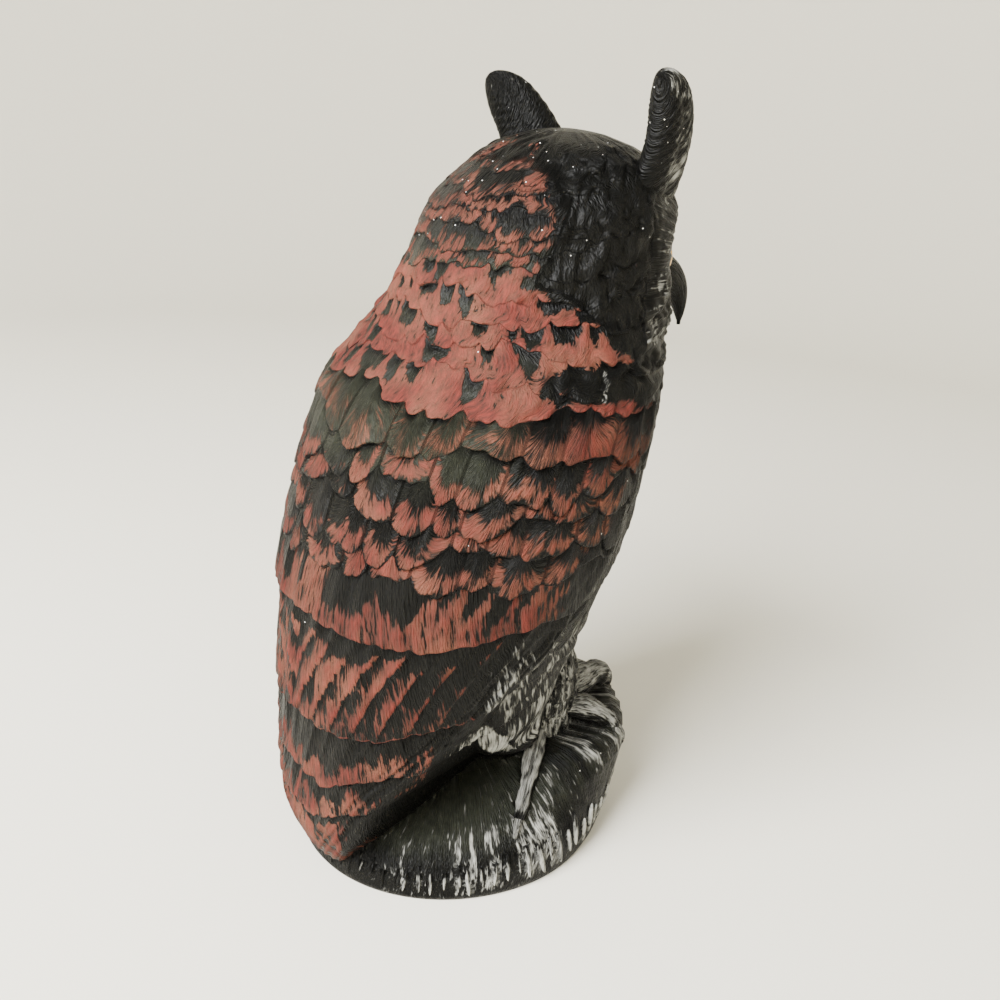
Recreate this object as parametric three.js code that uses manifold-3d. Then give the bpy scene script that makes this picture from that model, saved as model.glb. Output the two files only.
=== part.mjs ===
// Great horned owl decoy: a blow-moulded garden bird that stands on a moulded rock.
// Bird and rock are one moulding. Millimetres, +Z up, the bird faces -Y, its right wing is on -X.
// The origin is on the underside of the rock, below the middle of the bird.
import * as THREE from "three";
import { mergeVertices } from "three/addons/utils/BufferGeometryUtils.js";
import Module from "manifold-3d";

const wasm = await Module();
wasm.setup();

// Driving sizes of the bird.
const crownHeight = 377; // floor to the top of the head, between the tufts
const tuftRise = 29; // how far the ear tufts stand above the crown
const tuftRootWidth = 44;
const tuftTipWidth = 20;
const tuftThickness = 15;
const beakReach = 30; // how far the tip of the beak stands out from the face
const beakWidth = 24;
const eyeRadius = 12.5;
const faceDiscRadius = 33; // the shallow dish round each eye
const faceDiscDepth = 8;
const faceRimHeight = 2.2; // how far the rim of a dish stands off the face
const faceSink = 1.5; // how far the face lies behind the feathers of the head
const eyeSink = 3.5; // how far an eye lies behind the front of the face
const bridgeHeight = 5; // the ridge between the dishes
const browHeight = 1.6; // how far the brow stands off the face
const headTurn = 6; // degrees towards the bird's right
const featherStep = 2.6; // how far a body feather's tip stands off the row below it
const flightFeatherStep = 4; // the same for the wing's and the tail's long feathers
const wingStep = 2; // how far the wings stand off the breast
const toeRadius = 8;
const clawLength = 14;
const legRadius = 20;
const ankleHeight = 64; // floor to the middle of the toes' roots

// Driving sizes of the rock.
const rockWidth = 164;
const rockDepth = 188;
const rockFrontHeight = 71; // its top, level with the feet
const rockBackHeight = 36; // below the tail
const rockForward = 8; // how far its middle lies in front of the origin
const rockRibDepth = 1.6;
const rockRibs = 25;

const halfColumns = 33; // facets round each half of the body
const wingColumns = 20; // those of them that cover a wing
const percent = crownHeight / 100;
const degree = Math.PI / 180;

// Sections of the bird in hundredths of the crown height: height, front, back, half width.
// The outer ones carry the wings and the tail, and the inner ones are the trunk between them.
const outerSections = [
  [3, -9, 24.2, 14],
  [8, -9, 26.1, 18],
  [16, -11, 26.4, 19.4],
  [27, -14, 26.4, 20.5],
  [40, -17.8, 26, 22.8],
  [53, -22, 23.4, 24.4],
  [66, -22.8, 18.8, 25],
  [74, -24.8, 12.8, 22],
  [82, -28, 9.2, 18],
  [90, -26.2, 5.4, 17.8],
  [95, -23.8, 0.2, 15.6],
  [98, -20.6, -4.2, 12],
  [99.5, -17, -8, 6],
];
const innerSections = [
  [3, -9, 0, 9],
  [14, -10, 2, 11.5],
  [18, -11, 8, 15.2],
  [22, -12, 12, 16],
  [27, -13.8, 15, 17],
  [34, -16, 20, 19.6],
  [40, -18, 24, 22],
  [53, -22.2, 23, 24.2],
  [66, -23, 18.6, 24.8],
  [74, -24.8, 12.8, 22],
  [82, -28, 9.2, 18],
  [90, -26.2, 5.4, 17.8],
  [95, -23.8, 0.2, 15.6],
  [98, -20.6, -4.2, 12],
  [99.5, -17, -8, 6],
];

// The wing's front edge, which runs on as the side of the tail: height, degrees from the middle of the back.
const wingEdge = [
  [3, 27],
  [9, 35],
  [16, 45],
  [22, 60],
  [26, 70],
  [31, 82],
  [36, 92],
  [40, 100],
  [45, 106],
  [53, 112],
  [63, 121],
  [70, 112],
  [75, 96],
  [79, 70],
  [83, 45],
];

// Feather rows from the crown down. An edge says where a row's tips end, in hundredths of the crown height:
// at the middle of the back, at the wing's front edge and at the middle of the front.
function featherRows() {
  const rows = [];
  const add = (count, first, last, feathers, scallop, wing, front) => {
    for (let i = 0; i < count; i += 1) {
      const share = count > 1 ? i / (count - 1) : 0;
      const edge = first.map((level, k) => THREE.MathUtils.lerp(level, last[k], share));
      rows.push({ edge, feathers, scallop, wing, front, offset: (rows.length % 2) / 2 });
    }
  };
  const [small, body, flight] = [featherStep * 0.6, featherStep, flightFeatherStep];
  add(6, [94.8, 94.8, 94.8], [84.2, 84.2, 84.2], 22, 0.8, small, small);
  add(4, [81.2, 81.2, 81.2], [70, 70.4, 70.8], 22, 0.8, body * 0.8, small);
  add(1, [64.8, 65.6, 66.4], [64.8, 65.6, 66.4], 22, 1, flight * 0.8, small);
  add(4, [60.8, 61.6, 62.8], [49.2, 51.4, 54], 22, 1.2, body, body);
  add(1, [40.8, 43.8, 50], [40.8, 43.8, 50], 22, 0.8, flight, body);
  add(2, [35.8, 39.8, 46], [30.8, 35.2, 42], 22, 0.8, 0, body);
  add(1, [26, 30.8, 38], [26, 30.8, 38], 11, 0.9, flight, body);
  add(2, [17.6, 22.6, 32], [11.6, 16, 26], 11, 0.9, flight, body * 0.6);
  return rows;
}
const rows = featherRows();

// Monotone cubic through rows of numbers whose first column is the place.
function along(table, place, column) {
  const last = table.length - 1;
  const at = Math.min(Math.max(place, table[0][0]), table[last][0]);
  let i = 0;
  while (i < last - 1 && at > table[i + 1][0]) i += 1;
  const slope = (k) => (table[k + 1][column] - table[k][column]) / (table[k + 1][0] - table[k][0]);
  const tangent = (k) => {
    if (k === 0 || k === last) return slope(k === 0 ? 0 : last - 1);
    const a = slope(k - 1);
    const b = slope(k);
    return a * b <= 0 ? 0 : (2 * a * b) / (a + b);
  };
  const width = table[i + 1][0] - table[i][0];
  const t = (at - table[i][0]) / width;
  const t2 = t * t;
  const t3 = t2 * t;
  return (
    (2 * t3 - 3 * t2 + 1) * table[i][column] +
    (t3 - 2 * t2 + t) * width * tangent(i) +
    (3 * t2 - 2 * t3) * table[i + 1][column] +
    (t3 - t2) * width * tangent(i + 1)
  );
}

const smooth = THREE.MathUtils.smoothstep;

// A point of one family of sections, at an angle from the middle of the back and a height.
function sectionPoint(sections, angle, height) {
  const level = height / percent;
  const front = along(sections, level, 1) * percent;
  const back = along(sections, level, 2) * percent;
  const half = along(sections, level, 3) * percent;
  const roundness = THREE.MathUtils.lerp(0.92, 1.02, smooth(level, 72, 80));
  const swell = (v) => Math.sign(v) * Math.abs(v) ** roundness;
  const x = -half * swell(Math.sin(angle));
  const y = (front + back) / 2 + ((back - front) / 2) * swell(Math.cos(angle));
  return new THREE.Vector3(x, y, height);
}

// How much of the wing and tail there is at a place: 1 on them, 0 on the trunk in front of them.
function wingShare(angle, height) {
  const level = height / percent;
  const edge = along(wingEdge, level, 1);
  const gap = edge - Math.abs(angle) / degree;
  return smooth(gap, -2.5, 2.5);
}

// The angle of a column at a level. On the wing and the tail the columns crowd up to the front edge.
function columnAngle(place, level) {
  const even = (place / halfColumns) * 180;
  const edge = along(wingEdge, level, 1);
  const wall = 1.2;
  const onWing = (place / (wingColumns - 0.5)) * (edge - wall);
  const onTrunk = THREE.MathUtils.mapLinear(place, wingColumns + 0.5, halfColumns, edge + wall, 180);
  const crowded = place < wingColumns ? onWing : onTrunk;
  return THREE.MathUtils.lerp(crowded, even, smooth(level, 40, 50)) * degree;
}

// The height at which a row's feather tips end: place is a column, counted from the middle of the back.
function edgeHeight(row, place) {
  const off = Math.abs(place);
  const [back, side, front] = row.edge;
  const climb = (side - back) * smooth(off, 6, wingColumns) + (front - side) * smooth(off, wingColumns, 28);
  const turns = (place / (2 * halfColumns)) * row.feathers + row.offset;
  const across = Math.abs(2 * (turns - Math.floor(turns)) - 1); // 1 between two feathers, 0 on a shaft
  const scallop = row.scallop * (back > 74 ? 1 - faceShare(place) : 1);
  return (back + climb - scallop * (1 - across ** 2)) * percent;
}

// How much a column belongs to the face: its rings run straight and evenly there.
function faceShare(place) {
  return smooth((Math.abs(place) / halfColumns) * 180, 95, 115);
}

// The face: a shallow dish round each eye, and a brow that runs from the beak up to the tuft.
const eyeHeight = 85 * percent;
const eyeSide = 7.2 * percent;
const faceRadius = 17.5 * percent;
function faceRelief(angle, height) {
  if (Math.cos(angle) > 0) return 0;
  const dx = Math.abs(Math.sin(angle) * faceRadius) - eyeSide;
  const dz = height - eyeHeight;
  const from = Math.hypot(dx, dz);
  const bell = (distance, width) => Math.exp(-((distance / width) ** 2));
  const dish = -faceDiscDepth * (1 - smooth(from, faceDiscRadius * 0.25, faceDiscRadius * 0.9));
  const rim = faceRimHeight * bell(from - faceDiscRadius, 1.6 * percent);
  const browLine = dz - 1.2 * eyeRadius - 0.45 * dx;
  const browEnd = smooth(eyeSide * 0.96 - Math.abs(dx), 0, 4 * percent);
  const brow = browHeight * bell(browLine, 1.9 * percent) * browEnd;
  const bridge = bridgeHeight * bell(dx + eyeSide, 2.6 * percent) * bell(height - 82 * percent, 5 * percent);
  return dish + rim + brow + bridge - faceSink;
}

// Turns a point that belongs to the head about the neck.
const neckForward = 8 * percent;
function turnHead(point, share = 1) {
  const turn = -headTurn * degree * share;
  const neck = new THREE.Vector3(0, -neckForward, 0);
  return point.sub(neck).applyAxisAngle(new THREE.Vector3(0, 0, 1), turn).add(neck);
}

// A point of the bird's skin; sunk says how far it lies below the feather tips, on the wing and in front.
function bodyPoint(angle, height, sunk) {
  const level = height / percent;
  const wing = wingShare(angle, height);
  const point = sectionPoint(innerSections, angle, height);
  point.lerp(sectionPoint(outerSections, angle, height), wing);
  const onFace = smooth(level, 72, 77) * smooth(Math.abs(angle) / degree, 95, 115);
  const breast = wingStep * (1 - wing) * (1 - smooth(level, 72, 80)) * smooth(level, 34, 40);
  const behind = level > 53 ? smooth(Math.cos(angle), -0.7, -0.2) : wing;
  const below = THREE.MathUtils.lerp(sunk.front, sunk.wing, behind);
  const out = faceRelief(angle, height) * onFace - breast - below * (1 - onFace);
  point.addScaledVector(new THREE.Vector3(-Math.sin(angle), Math.cos(angle), 0), out);
  return turnHead(point, smooth(level, 70, 84));
}

// A closed geometry through rings of points, each end closed to one point.
function loft(rings, start, end) {
  const around = rings[0].length;
  const points = [start, ...rings.flat(), end];
  const index = [];
  const at = (ring, j) => 1 + ring * around + (j % around);
  for (let j = 0; j < around; j += 1) {
    index.push(0, at(0, j + 1), at(0, j));
    index.push(points.length - 1, at(rings.length - 1, j), at(rings.length - 1, j + 1));
    for (let i = 0; i < rings.length - 1; i += 1) {
      index.push(at(i, j), at(i, j + 1), at(i + 1, j));
      index.push(at(i, j + 1), at(i + 1, j + 1), at(i + 1, j));
    }
  }
  let volume = 0;
  for (let i = 0; i < index.length; i += 3) {
    const [a, b, c] = [points[index[i]], points[index[i + 1]], points[index[i + 2]]];
    volume += a.dot(new THREE.Vector3().crossVectors(b, c));
  }
  if (volume < 0) index.reverse();
  const geometry = new THREE.BufferGeometry();
  geometry.setAttribute("position", new THREE.Float32BufferAttribute(points.flatMap((p) => p.toArray()), 3));
  geometry.setIndex(index);
  return geometry;
}

// A tapering limb along a curve: its rings are ellipses, and radius(t) gives their two half widths.
function limb(curve, steps, sides, radius, wide) {
  const rings = [];
  for (let i = 0; i <= steps; i += 1) {
    const t = i / steps;
    const centre = curve.getPointAt(t);
    const tangent = curve.getTangentAt(t);
    const first = wide.clone().addScaledVector(tangent, -wide.dot(tangent)).normalize();
    const second = new THREE.Vector3().crossVectors(tangent, first);
    const [a, b] = radius(t);
    rings.push(
      Array.from({ length: sides }, (_, j) => {
        const turn = (2 * Math.PI * j) / sides;
        const point = centre.clone().addScaledVector(first, a * Math.cos(turn));
        return point.addScaledVector(second, b * Math.sin(turn));
      }),
    );
  }
  return loft(rings, curve.getPointAt(0), curve.getPointAt(1));
}

function body() {
  const rings = [];
  const ring = (heightAt, sunk) => {
    rings.push(
      Array.from({ length: 2 * halfColumns }, (_, j) => {
        const place = j + 0.5 - halfColumns;
        const height = heightAt(place);
        const angle = Math.sign(place) * columnAngle(Math.abs(place), height / percent);
        return bodyPoint(angle, height, sunk);
      }),
    );
  };
  const step = 0.25 * percent; // half the height that a feather's step takes up
  const tips = { wing: 0, front: 0 };
  [99.5, 98, 96].forEach((level) => ring(() => level * percent, tips));
  rows.forEach((row, i) => {
    const next = rows[i + 1] ?? { wing: 0, front: 0 };
    const gap = rows[i + 1] ? row.edge[0] - next.edge[0] : 1;
    const apart = row.edge[0] > 74 ? (gap * percent) / 4 : step;
    const half = (place) => THREE.MathUtils.lerp(step, apart, faceShare(place));
    ring((place) => edgeHeight(row, place) + half(place), tips);
    ring((place) => edgeHeight(row, place) - half(place), { wing: row.wing, front: row.front });
  });
  const bottom = 3 * percent;
  const lowest = rows[rows.length - 1];
  [0.33, 0.67, 1].forEach((share) => {
    ring((place) => THREE.MathUtils.lerp(edgeHeight(lowest, place) - step, bottom, share), tips);
  });
  const crown = turnHead(new THREE.Vector3(0, -12 * percent, crownHeight));
  return loft(rings, crown, new THREE.Vector3(0, 0, bottom));
}

// The rock: a ribbed dome that slopes away behind and falls steeply, a little overhung, in front.
// Height in shares of its height there, then its spread behind and in front in shares of its half width.
const rockProfile = [
  [0, 0.985, 0.945],
  [0.06, 1, 0.965],
  [0.4, 0.96, 1.01],
  [0.58, 0.89, 1.035],
  [0.72, 0.775, 1.05],
  [0.86, 0.57, 1.03],
  [0.94, 0.39, 0.93],
  [0.975, 0.2, 0.72],
];
function rockHeight(y) {
  const share = (y + rockForward) / rockDepth + 0.5; // 0 at the front, 1 at the back
  return THREE.MathUtils.lerp(rockFrontHeight, rockBackHeight, smooth(share, 0.1, 0.9));
}
function rockSpread([, behind, ahead], turn) {
  return THREE.MathUtils.lerp(behind, ahead, smooth(-Math.cos(turn), -0.1, 0.7));
}
function rockTop(x, y) {
  const [right, back] = [x / (rockWidth / 2), (y + rockForward) / (rockDepth / 2)];
  const [spread, turn] = [Math.hypot(right, back), Math.atan2(right, back)];
  const spreads = rockProfile.map((row) => rockSpread(row, turn));
  let i = rockProfile.length - 1;
  while (i > 1 && spreads[i] < spread) i -= 1;
  const share = (spreads[i] - Math.min(spread, spreads[i])) / (spreads[i] - (spreads[i + 1] ?? 0));
  const rise = THREE.MathUtils.lerp(rockProfile[i][0], rockProfile[i + 1]?.[0] ?? 1, share);
  return rise * rockHeight(y);
}
function rock() {
  const sides = 2 * rockRibs;
  const rings = rockProfile.map((row) =>
    Array.from({ length: sides }, (_, j) => {
      const turn = (2 * Math.PI * (j + 0.5)) / sides;
      const rib = row[0] > 0 && row[0] < 0.6 ? ((j % 2 ? 1 : -1) * rockRibDepth) / 2 : 0;
      const spread = rockSpread(row, turn);
      const x = ((rockWidth / 2) * spread + rib) * Math.sin(turn);
      const y = ((rockDepth / 2) * spread + rib) * Math.cos(turn) - rockForward;
      return new THREE.Vector3(x, y, row[0] * rockHeight(y));
    }),
  );
  const middle = (z) => new THREE.Vector3(0, -rockForward, z);
  return loft(rings, middle(0), middle(rockHeight(-rockForward)));
}

// An ear tuft: a broad leaf that leans outward and curves back. side is -1 on the bird's right.
function tuft(side) {
  const root = 89.4 * percent;
  const tip = crownHeight + tuftRise - tuftThickness * 0.3; // the rounded end rises above the middle line
  const spot = (x, y, z) => new THREE.Vector3(side * x * percent, y * percent, z);
  const curve = new THREE.QuadraticBezierCurve3(
    spot(10.1, -16.7, root),
    spot(16.4, -17.8, THREE.MathUtils.lerp(root, tip, 0.72)),
    spot(18.8, -10.6, tip),
  );
  const wide = new THREE.Vector3(side * 0.44, 0.9, 0);
  const radius = (t) => {
    const round = t < 0.72 ? 1 : Math.sqrt(Math.max(0, 1 - ((t - 0.72) / 0.285) ** 2));
    return [(THREE.MathUtils.lerp(tuftRootWidth, tuftTipWidth, t) / 2) * round, (tuftThickness / 2) * round];
  };
  return limb(curve, 9, 10, radius, wide);
}

// A domed eye in the middle of its dish.
function eye(side) {
  const front = sectionPoint(outerSections, Math.PI - Math.asin(eyeSide / faceRadius), eyeHeight);
  const ball = new THREE.SphereGeometry(eyeRadius, 12, 7).rotateX(Math.PI / 2);
  return ball.translate(side * eyeSide, front.y + eyeRadius + eyeSink, eyeHeight);
}

function beak() {
  const face = -27.6 * percent;
  const curve = new THREE.QuadraticBezierCurve3(
    new THREE.Vector3(0, face + 1.6 * percent, 82 * percent),
    new THREE.Vector3(0, face - beakReach * 0.9, 82.5 * percent),
    new THREE.Vector3(0, face - beakReach * 0.95, 74 * percent),
  );
  const radius = (t) => {
    const taper = Math.max(0.08, (1 - t) ** 0.7);
    return [(beakWidth / 2) * taper, beakWidth * 0.6 * taper];
  };
  return limb(curve, 7, 10, radius, new THREE.Vector3(1, 0, 0));
}

// A foot: two toes forward and one to the back, each with a hooked claw that grips the rock.
// Each toe is a heading, in degrees outward from straight ahead, its girth at the root and at the claw in
// shares of the toe radius, and spots on its middle line: reach out from the ankle and height above it, in
// hundredths of the crown height.
const ankle = { side: 9 * percent, forward: 10.6 * percent };
const toePaths = [
  { heading: -10, girth: [1.05, 1], spots: [[0, 1.4], [5, 3.2], [10.6, 3.4], [14.2, 1.8]] },
  { heading: 37, girth: [0.9, 0.75], spots: [[0, 1], [4.4, 2.2], [8.2, 1.2], [10.6, -1]] },
  { heading: 141, girth: [0.7, 0.4], spots: [[0, 0.4], [4, -0.5], [8, -3.2], [14.6, -7.8]] },
];
function toes(side) {
  return toePaths.flatMap(({ heading, girth, spots }) => {
    const away = new THREE.Vector3(side * Math.sin(heading * degree), -Math.cos(heading * degree), 0);
    const place = (reach, above) => {
      const point = new THREE.Vector3(side * ankle.side, -ankle.forward, 0);
      return point.addScaledVector(away, reach * percent).setZ(ankleHeight + above * percent);
    };
    const curve = new THREE.CatmullRomCurve3(spots.map(([reach, above]) => place(reach, above)));
    const thick = (t) => {
      const knuckle = 1.1 - 0.2 * t + 0.12 * Math.cos(t * 4 * Math.PI);
      return toeRadius * THREE.MathUtils.lerp(...girth, t) * knuckle * (t > 0.9 ? 0.7 : 1);
    };
    const toe = limb(curve, 7, 8, (t) => [thick(t), thick(t)], new THREE.Vector3(0, 0, 1));
    const [reach, above] = spots[spots.length - 1];
    const drop = clawLength / percent;
    const bend = new THREE.QuadraticBezierCurve3(
      place(reach - 1, above + 0.2),
      place(reach + drop * 0.5, above - drop * 0.1),
      place(reach + drop * 0.36, above - drop * 0.85),
    );
    const sharp = (t) => toeRadius * girth[1] * 0.68 * Math.sqrt(Math.max(0.03, 1 - t));
    const claw = limb(bend, 4, 6, (t) => [sharp(t), sharp(t)], new THREE.Vector3(0, 0, 1));
    return [toe, claw];
  });
}

// A feathered leg, from inside the belly down to the instep.
function leg(side) {
  const instep = rockTop(ankle.side, -ankle.forward) - legRadius * 0.1;
  const curve = new THREE.LineCurve3(
    new THREE.Vector3(side * 8 * percent, -5.8 * percent, 37 * percent),
    new THREE.Vector3(side * ankle.side, -ankle.forward, instep),
  );
  const radius = (t) => {
    const swell = 0.74 + 0.3 * Math.sin(Math.PI * Math.min(1, t * 1.15) ** 1.2);
    return [legRadius * swell, legRadius * 1.15 * swell];
  };
  return limb(curve, 5, 11, radius, new THREE.Vector3(1, 0, 0));
}

// Joins closed geometries into one and gives it back as a geometry.
function solid(geometry) {
  const bare = geometry.clone();
  bare.deleteAttribute("normal");
  bare.deleteAttribute("uv");
  const merged = mergeVertices(bare, 1e-4);
  const vertProperties = new Float32Array(merged.attributes.position.array);
  const triVerts = new Uint32Array(merged.index.array);
  return new wasm.Manifold(new wasm.Mesh({ numProp: 3, vertProperties, triVerts }));
}
function joined(geometries) {
  const whole = geometries.map(solid).reduce((sum, one) => sum.add(one));
  const outside = whole.decompose().find((one) => one.volume() > 1); // not the pockets sealed inside
  const mesh = outside.getMesh();
  const geometry = new THREE.BufferGeometry();
  geometry.setAttribute("position", new THREE.BufferAttribute(mesh.vertProperties, 3));
  geometry.setIndex(new THREE.BufferAttribute(mesh.triVerts, 1));
  geometry.computeVertexNormals();
  return geometry;
}

// Turns a whole geometry with the head.
function onHead(geometry) {
  const turn = new THREE.Matrix4().makeTranslation(0, -neckForward, 0);
  turn.multiply(new THREE.Matrix4().makeRotationZ(-headTurn * degree));
  turn.multiply(new THREE.Matrix4().makeTranslation(0, neckForward, 0));
  return geometry.applyMatrix4(turn);
}

const pieces = [
  body(),
  rock(),
  ...[-1, 1].flatMap((side) => [onHead(tuft(side)), onHead(eye(side)), leg(side), ...toes(side)]),
  onHead(beak()),
];

const paint = new THREE.MeshStandardMaterial({ color: 0x2a2826, roughness: 0.6, metalness: 0 });
const decoy = new THREE.Mesh(joined(pieces), paint);
decoy.name = "owl_decoy";

const root = new THREE.Group();
root.add(decoy);
export default root;
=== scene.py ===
# Garden owl decoy: a blow-moulded great horned owl on its rock, painted matt black and dry-brushed by hand.
# Metres, +Z up, the bird faces -Y and its right wing is on -X. Bird and rock are one moulding, so the
# sculpted shells below are joined into one closed piece, which stands for the CAD solid.
import math

import bmesh
import bpy
import numpy as np
from mathutils import Matrix, Vector


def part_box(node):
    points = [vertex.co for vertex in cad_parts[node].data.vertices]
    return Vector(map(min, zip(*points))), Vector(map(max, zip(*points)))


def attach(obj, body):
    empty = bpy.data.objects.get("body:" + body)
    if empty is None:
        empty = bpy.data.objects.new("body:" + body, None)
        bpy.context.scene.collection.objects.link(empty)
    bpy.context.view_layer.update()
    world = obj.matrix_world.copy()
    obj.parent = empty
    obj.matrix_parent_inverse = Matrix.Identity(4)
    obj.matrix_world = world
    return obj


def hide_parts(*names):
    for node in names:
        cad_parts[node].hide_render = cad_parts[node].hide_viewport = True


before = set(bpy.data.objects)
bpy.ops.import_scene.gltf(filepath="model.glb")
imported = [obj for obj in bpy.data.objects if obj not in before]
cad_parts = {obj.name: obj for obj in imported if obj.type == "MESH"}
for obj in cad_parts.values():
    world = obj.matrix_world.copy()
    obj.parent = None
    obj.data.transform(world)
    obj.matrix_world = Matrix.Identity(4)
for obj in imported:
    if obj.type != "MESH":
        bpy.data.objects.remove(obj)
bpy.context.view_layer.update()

mm = 0.001

bird = {
    "crownShare": 377 / 403.22,  # of the height to the tips of the tufts
    "columns": 330,  # vertices round the body
    "ringStep": 2.5 * mm,  # between two rings of a feather's blade
    "headTurn": 6,  # degrees towards the bird's right
    "neckForward": 8,  # the axis of that turn, in hundredths of the crown height
    "wingStep": 2 * mm,  # how far the wings stand off the breast
    "inset": 0.75 * mm,  # keeps the relief within the solid's size
    "tipRound": 1.3 * mm,  # the rounded rim of a feather's tip
    "tipLip": 0.28 * mm,  # half the height of the step under a tip
    "rowGap": 4.2 * mm,  # the least from one row's tips to the next
    "seed": 7,
}
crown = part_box("owl_decoy")[1].z * bird["crownShare"]
percent = crown / 100  # the sections, levels and rows below are in hundredths of the crown height
bodyFoot, bodyTop = 3, 99.5  # levels of the lowest and the highest ring

# Sections: level, front, back, half width. The outer ones carry the wings and the tail.
headSections = [
    [74, -24.8, 12.8, 22], [82, -28, 9.2, 18], [90, -26.2, 5.4, 17.8], [95, -23.8, 0.2, 15.6],
    [98, -20.6, -4.2, 12], [bodyTop, -17, -8, 6],
]
outerSections = np.array([
    [bodyFoot, -9, 24.2, 14], [8, -9, 26.1, 18], [16, -11, 26.4, 19.4], [27, -14, 26.4, 20.5],
    [40, -17.8, 26, 22.8], [53, -22, 23.4, 24.4], [66, -22.8, 18.8, 25], *headSections,
])
innerSections = np.array([
    [bodyFoot, -9, 0, 9], [14, -10, 2, 11.5], [18, -11, 8, 15.2], [22, -12, 12, 16], [27, -13.8, 15, 17],
    [34, -16, 20, 19.6], [40, -18, 24, 22], [53, -22.2, 23, 24.2], [66, -23, 18.6, 24.8], *headSections,
])
# The wing's front edge, which runs on as the side of the tail: level, degrees from the middle of the back.
wingEdge = np.array([
    [3, 27], [9, 35], [16, 45], [22, 60], [26, 70], [31, 82], [36, 92], [40, 100], [45, 106],
    [53, 112], [63, 121], [70, 112], [75, 96], [79, 70], [83, 45],
])
cadColumns, wingColumns = 33, 20  # the rows are laid out over this many places round each half
layerNames = ("barb", "paint", "ground")  # what each vertex tells the paint
# barb: across, along, seed (metres); paint: coral, silver, hairy; ground: painted shade under tips and in
# furrows, bare plastic, crumpled


# small maths helpers

def smooth(value, low, high):
    t = np.clip((value - low) / (high - low), 0, 1)
    return t * t * (3 - 2 * t)


def mix(a, b, share):
    return a + (b - a) * share


def bell(distance, width):
    return np.exp(-((distance / width) ** 2))


def along(table, place, column):  # monotone cubic through the rows of a table
    keys, values = table[:, 0].astype(float), table[:, column].astype(float)
    slopes = np.diff(values) / np.diff(keys)
    tangents = np.concatenate([slopes[:1], slopes[:1], slopes[1:]])
    a, b = slopes[:-1], slopes[1:]
    total = np.where(a + b == 0, 1, a + b)
    tangents[1:-1] = np.where(a * b <= 0, 0, 2 * a * b / total)
    at = np.clip(place, keys[0], keys[-1])
    i = np.clip(np.searchsorted(keys, at, side="right") - 1, 0, len(keys) - 2)
    width = keys[i + 1] - keys[i]
    t = (at - keys[i]) / width
    return ((2 * t**3 - 3 * t**2 + 1) * values[i] + (t**3 - 2 * t**2 + t) * width * tangents[i]
            + (3 * t**2 - 2 * t**3) * values[i + 1] + (t**3 - t**2) * width * tangents[i + 1])


def randomAt(x, y, seed):  # a repeatable number from 0 to 1 for each pair of whole numbers
    n = np.sin(x * 127.1 + y * 311.7 + seed * 74.7) * 43758.5453
    return n - np.floor(n)


def softNoise(x, y, seed=0.0):  # from 0 to 1
    ix, iy = np.floor(x), np.floor(y)
    fx, fy = x - ix, y - iy
    fx, fy = fx * fx * (3 - 2 * fx), fy * fy * (3 - 2 * fy)
    low = mix(randomAt(ix, iy, seed), randomAt(ix + 1, iy, seed), fx)
    high = mix(randomAt(ix, iy + 1, seed), randomAt(ix + 1, iy + 1, seed), fx)
    return mix(low, high, fy)


def mottle(x, y, width, height, seed):  # soft noise round zero, with its sizes in millimetres
    return softNoise(x / (width * mm), y / (height * mm), seed) - 0.5


# nodes, for the materials and for Geometry Nodes

def linear(code):  # an sRGB hex colour as linear red, green, blue
    parts = [int(code[i:i + 2], 16) / 255 for i in (0, 2, 4)]
    return (*[p / 12.92 if p <= 0.04045 else ((p + 0.055) / 1.055) ** 2.4 for p in parts], 1)


def node(tree, kind, settings=None, links=None):  # a colour is a hex code, a source is a socket or a node
    made = tree.nodes.new(kind)
    for key, value in (settings or {}).items():
        if isinstance(key, str) and hasattr(made, key):
            setattr(made, key, value)
        else:
            socket = made.inputs[key]
            socket.default_value = linear(value) if socket.type == "RGBA" else value
    for key, source in (links or {}).items():
        if isinstance(source, bpy.types.Node):
            source = next(output for output in source.outputs if output.enabled)
        tree.links.new(source, made.inputs[key])
    return made


def newMaterial(name):
    material = bpy.data.materials.new(name)
    material.use_nodes = True
    material.node_tree.nodes.clear()
    return material, material.node_tree


def plainMaterial(name, code, roughness):
    material, tree = newMaterial(name)
    shader = node(tree, "ShaderNodeBsdfPrincipled", {"Base Color": code, "Roughness": roughness, "IOR": 1.5})
    node(tree, "ShaderNodeOutputMaterial", links={"Surface": shader})
    return material


# objects and their values

def addObject(name, data):
    made = bpy.data.objects.new(name, data)
    bpy.context.scene.collection.objects.link(made)
    return made


def evaluatedMesh(piece):
    return bpy.data.meshes.new_from_object(piece.evaluated_get(bpy.context.evaluated_depsgraph_get()))


def readRows(items, key, width=3, kind=np.float32):  # a value of each vertex, edge or face
    values = np.zeros(len(items) * width, kind)
    items.foreach_get(key, values)
    return values.reshape(-1, width)


# materials

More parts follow.
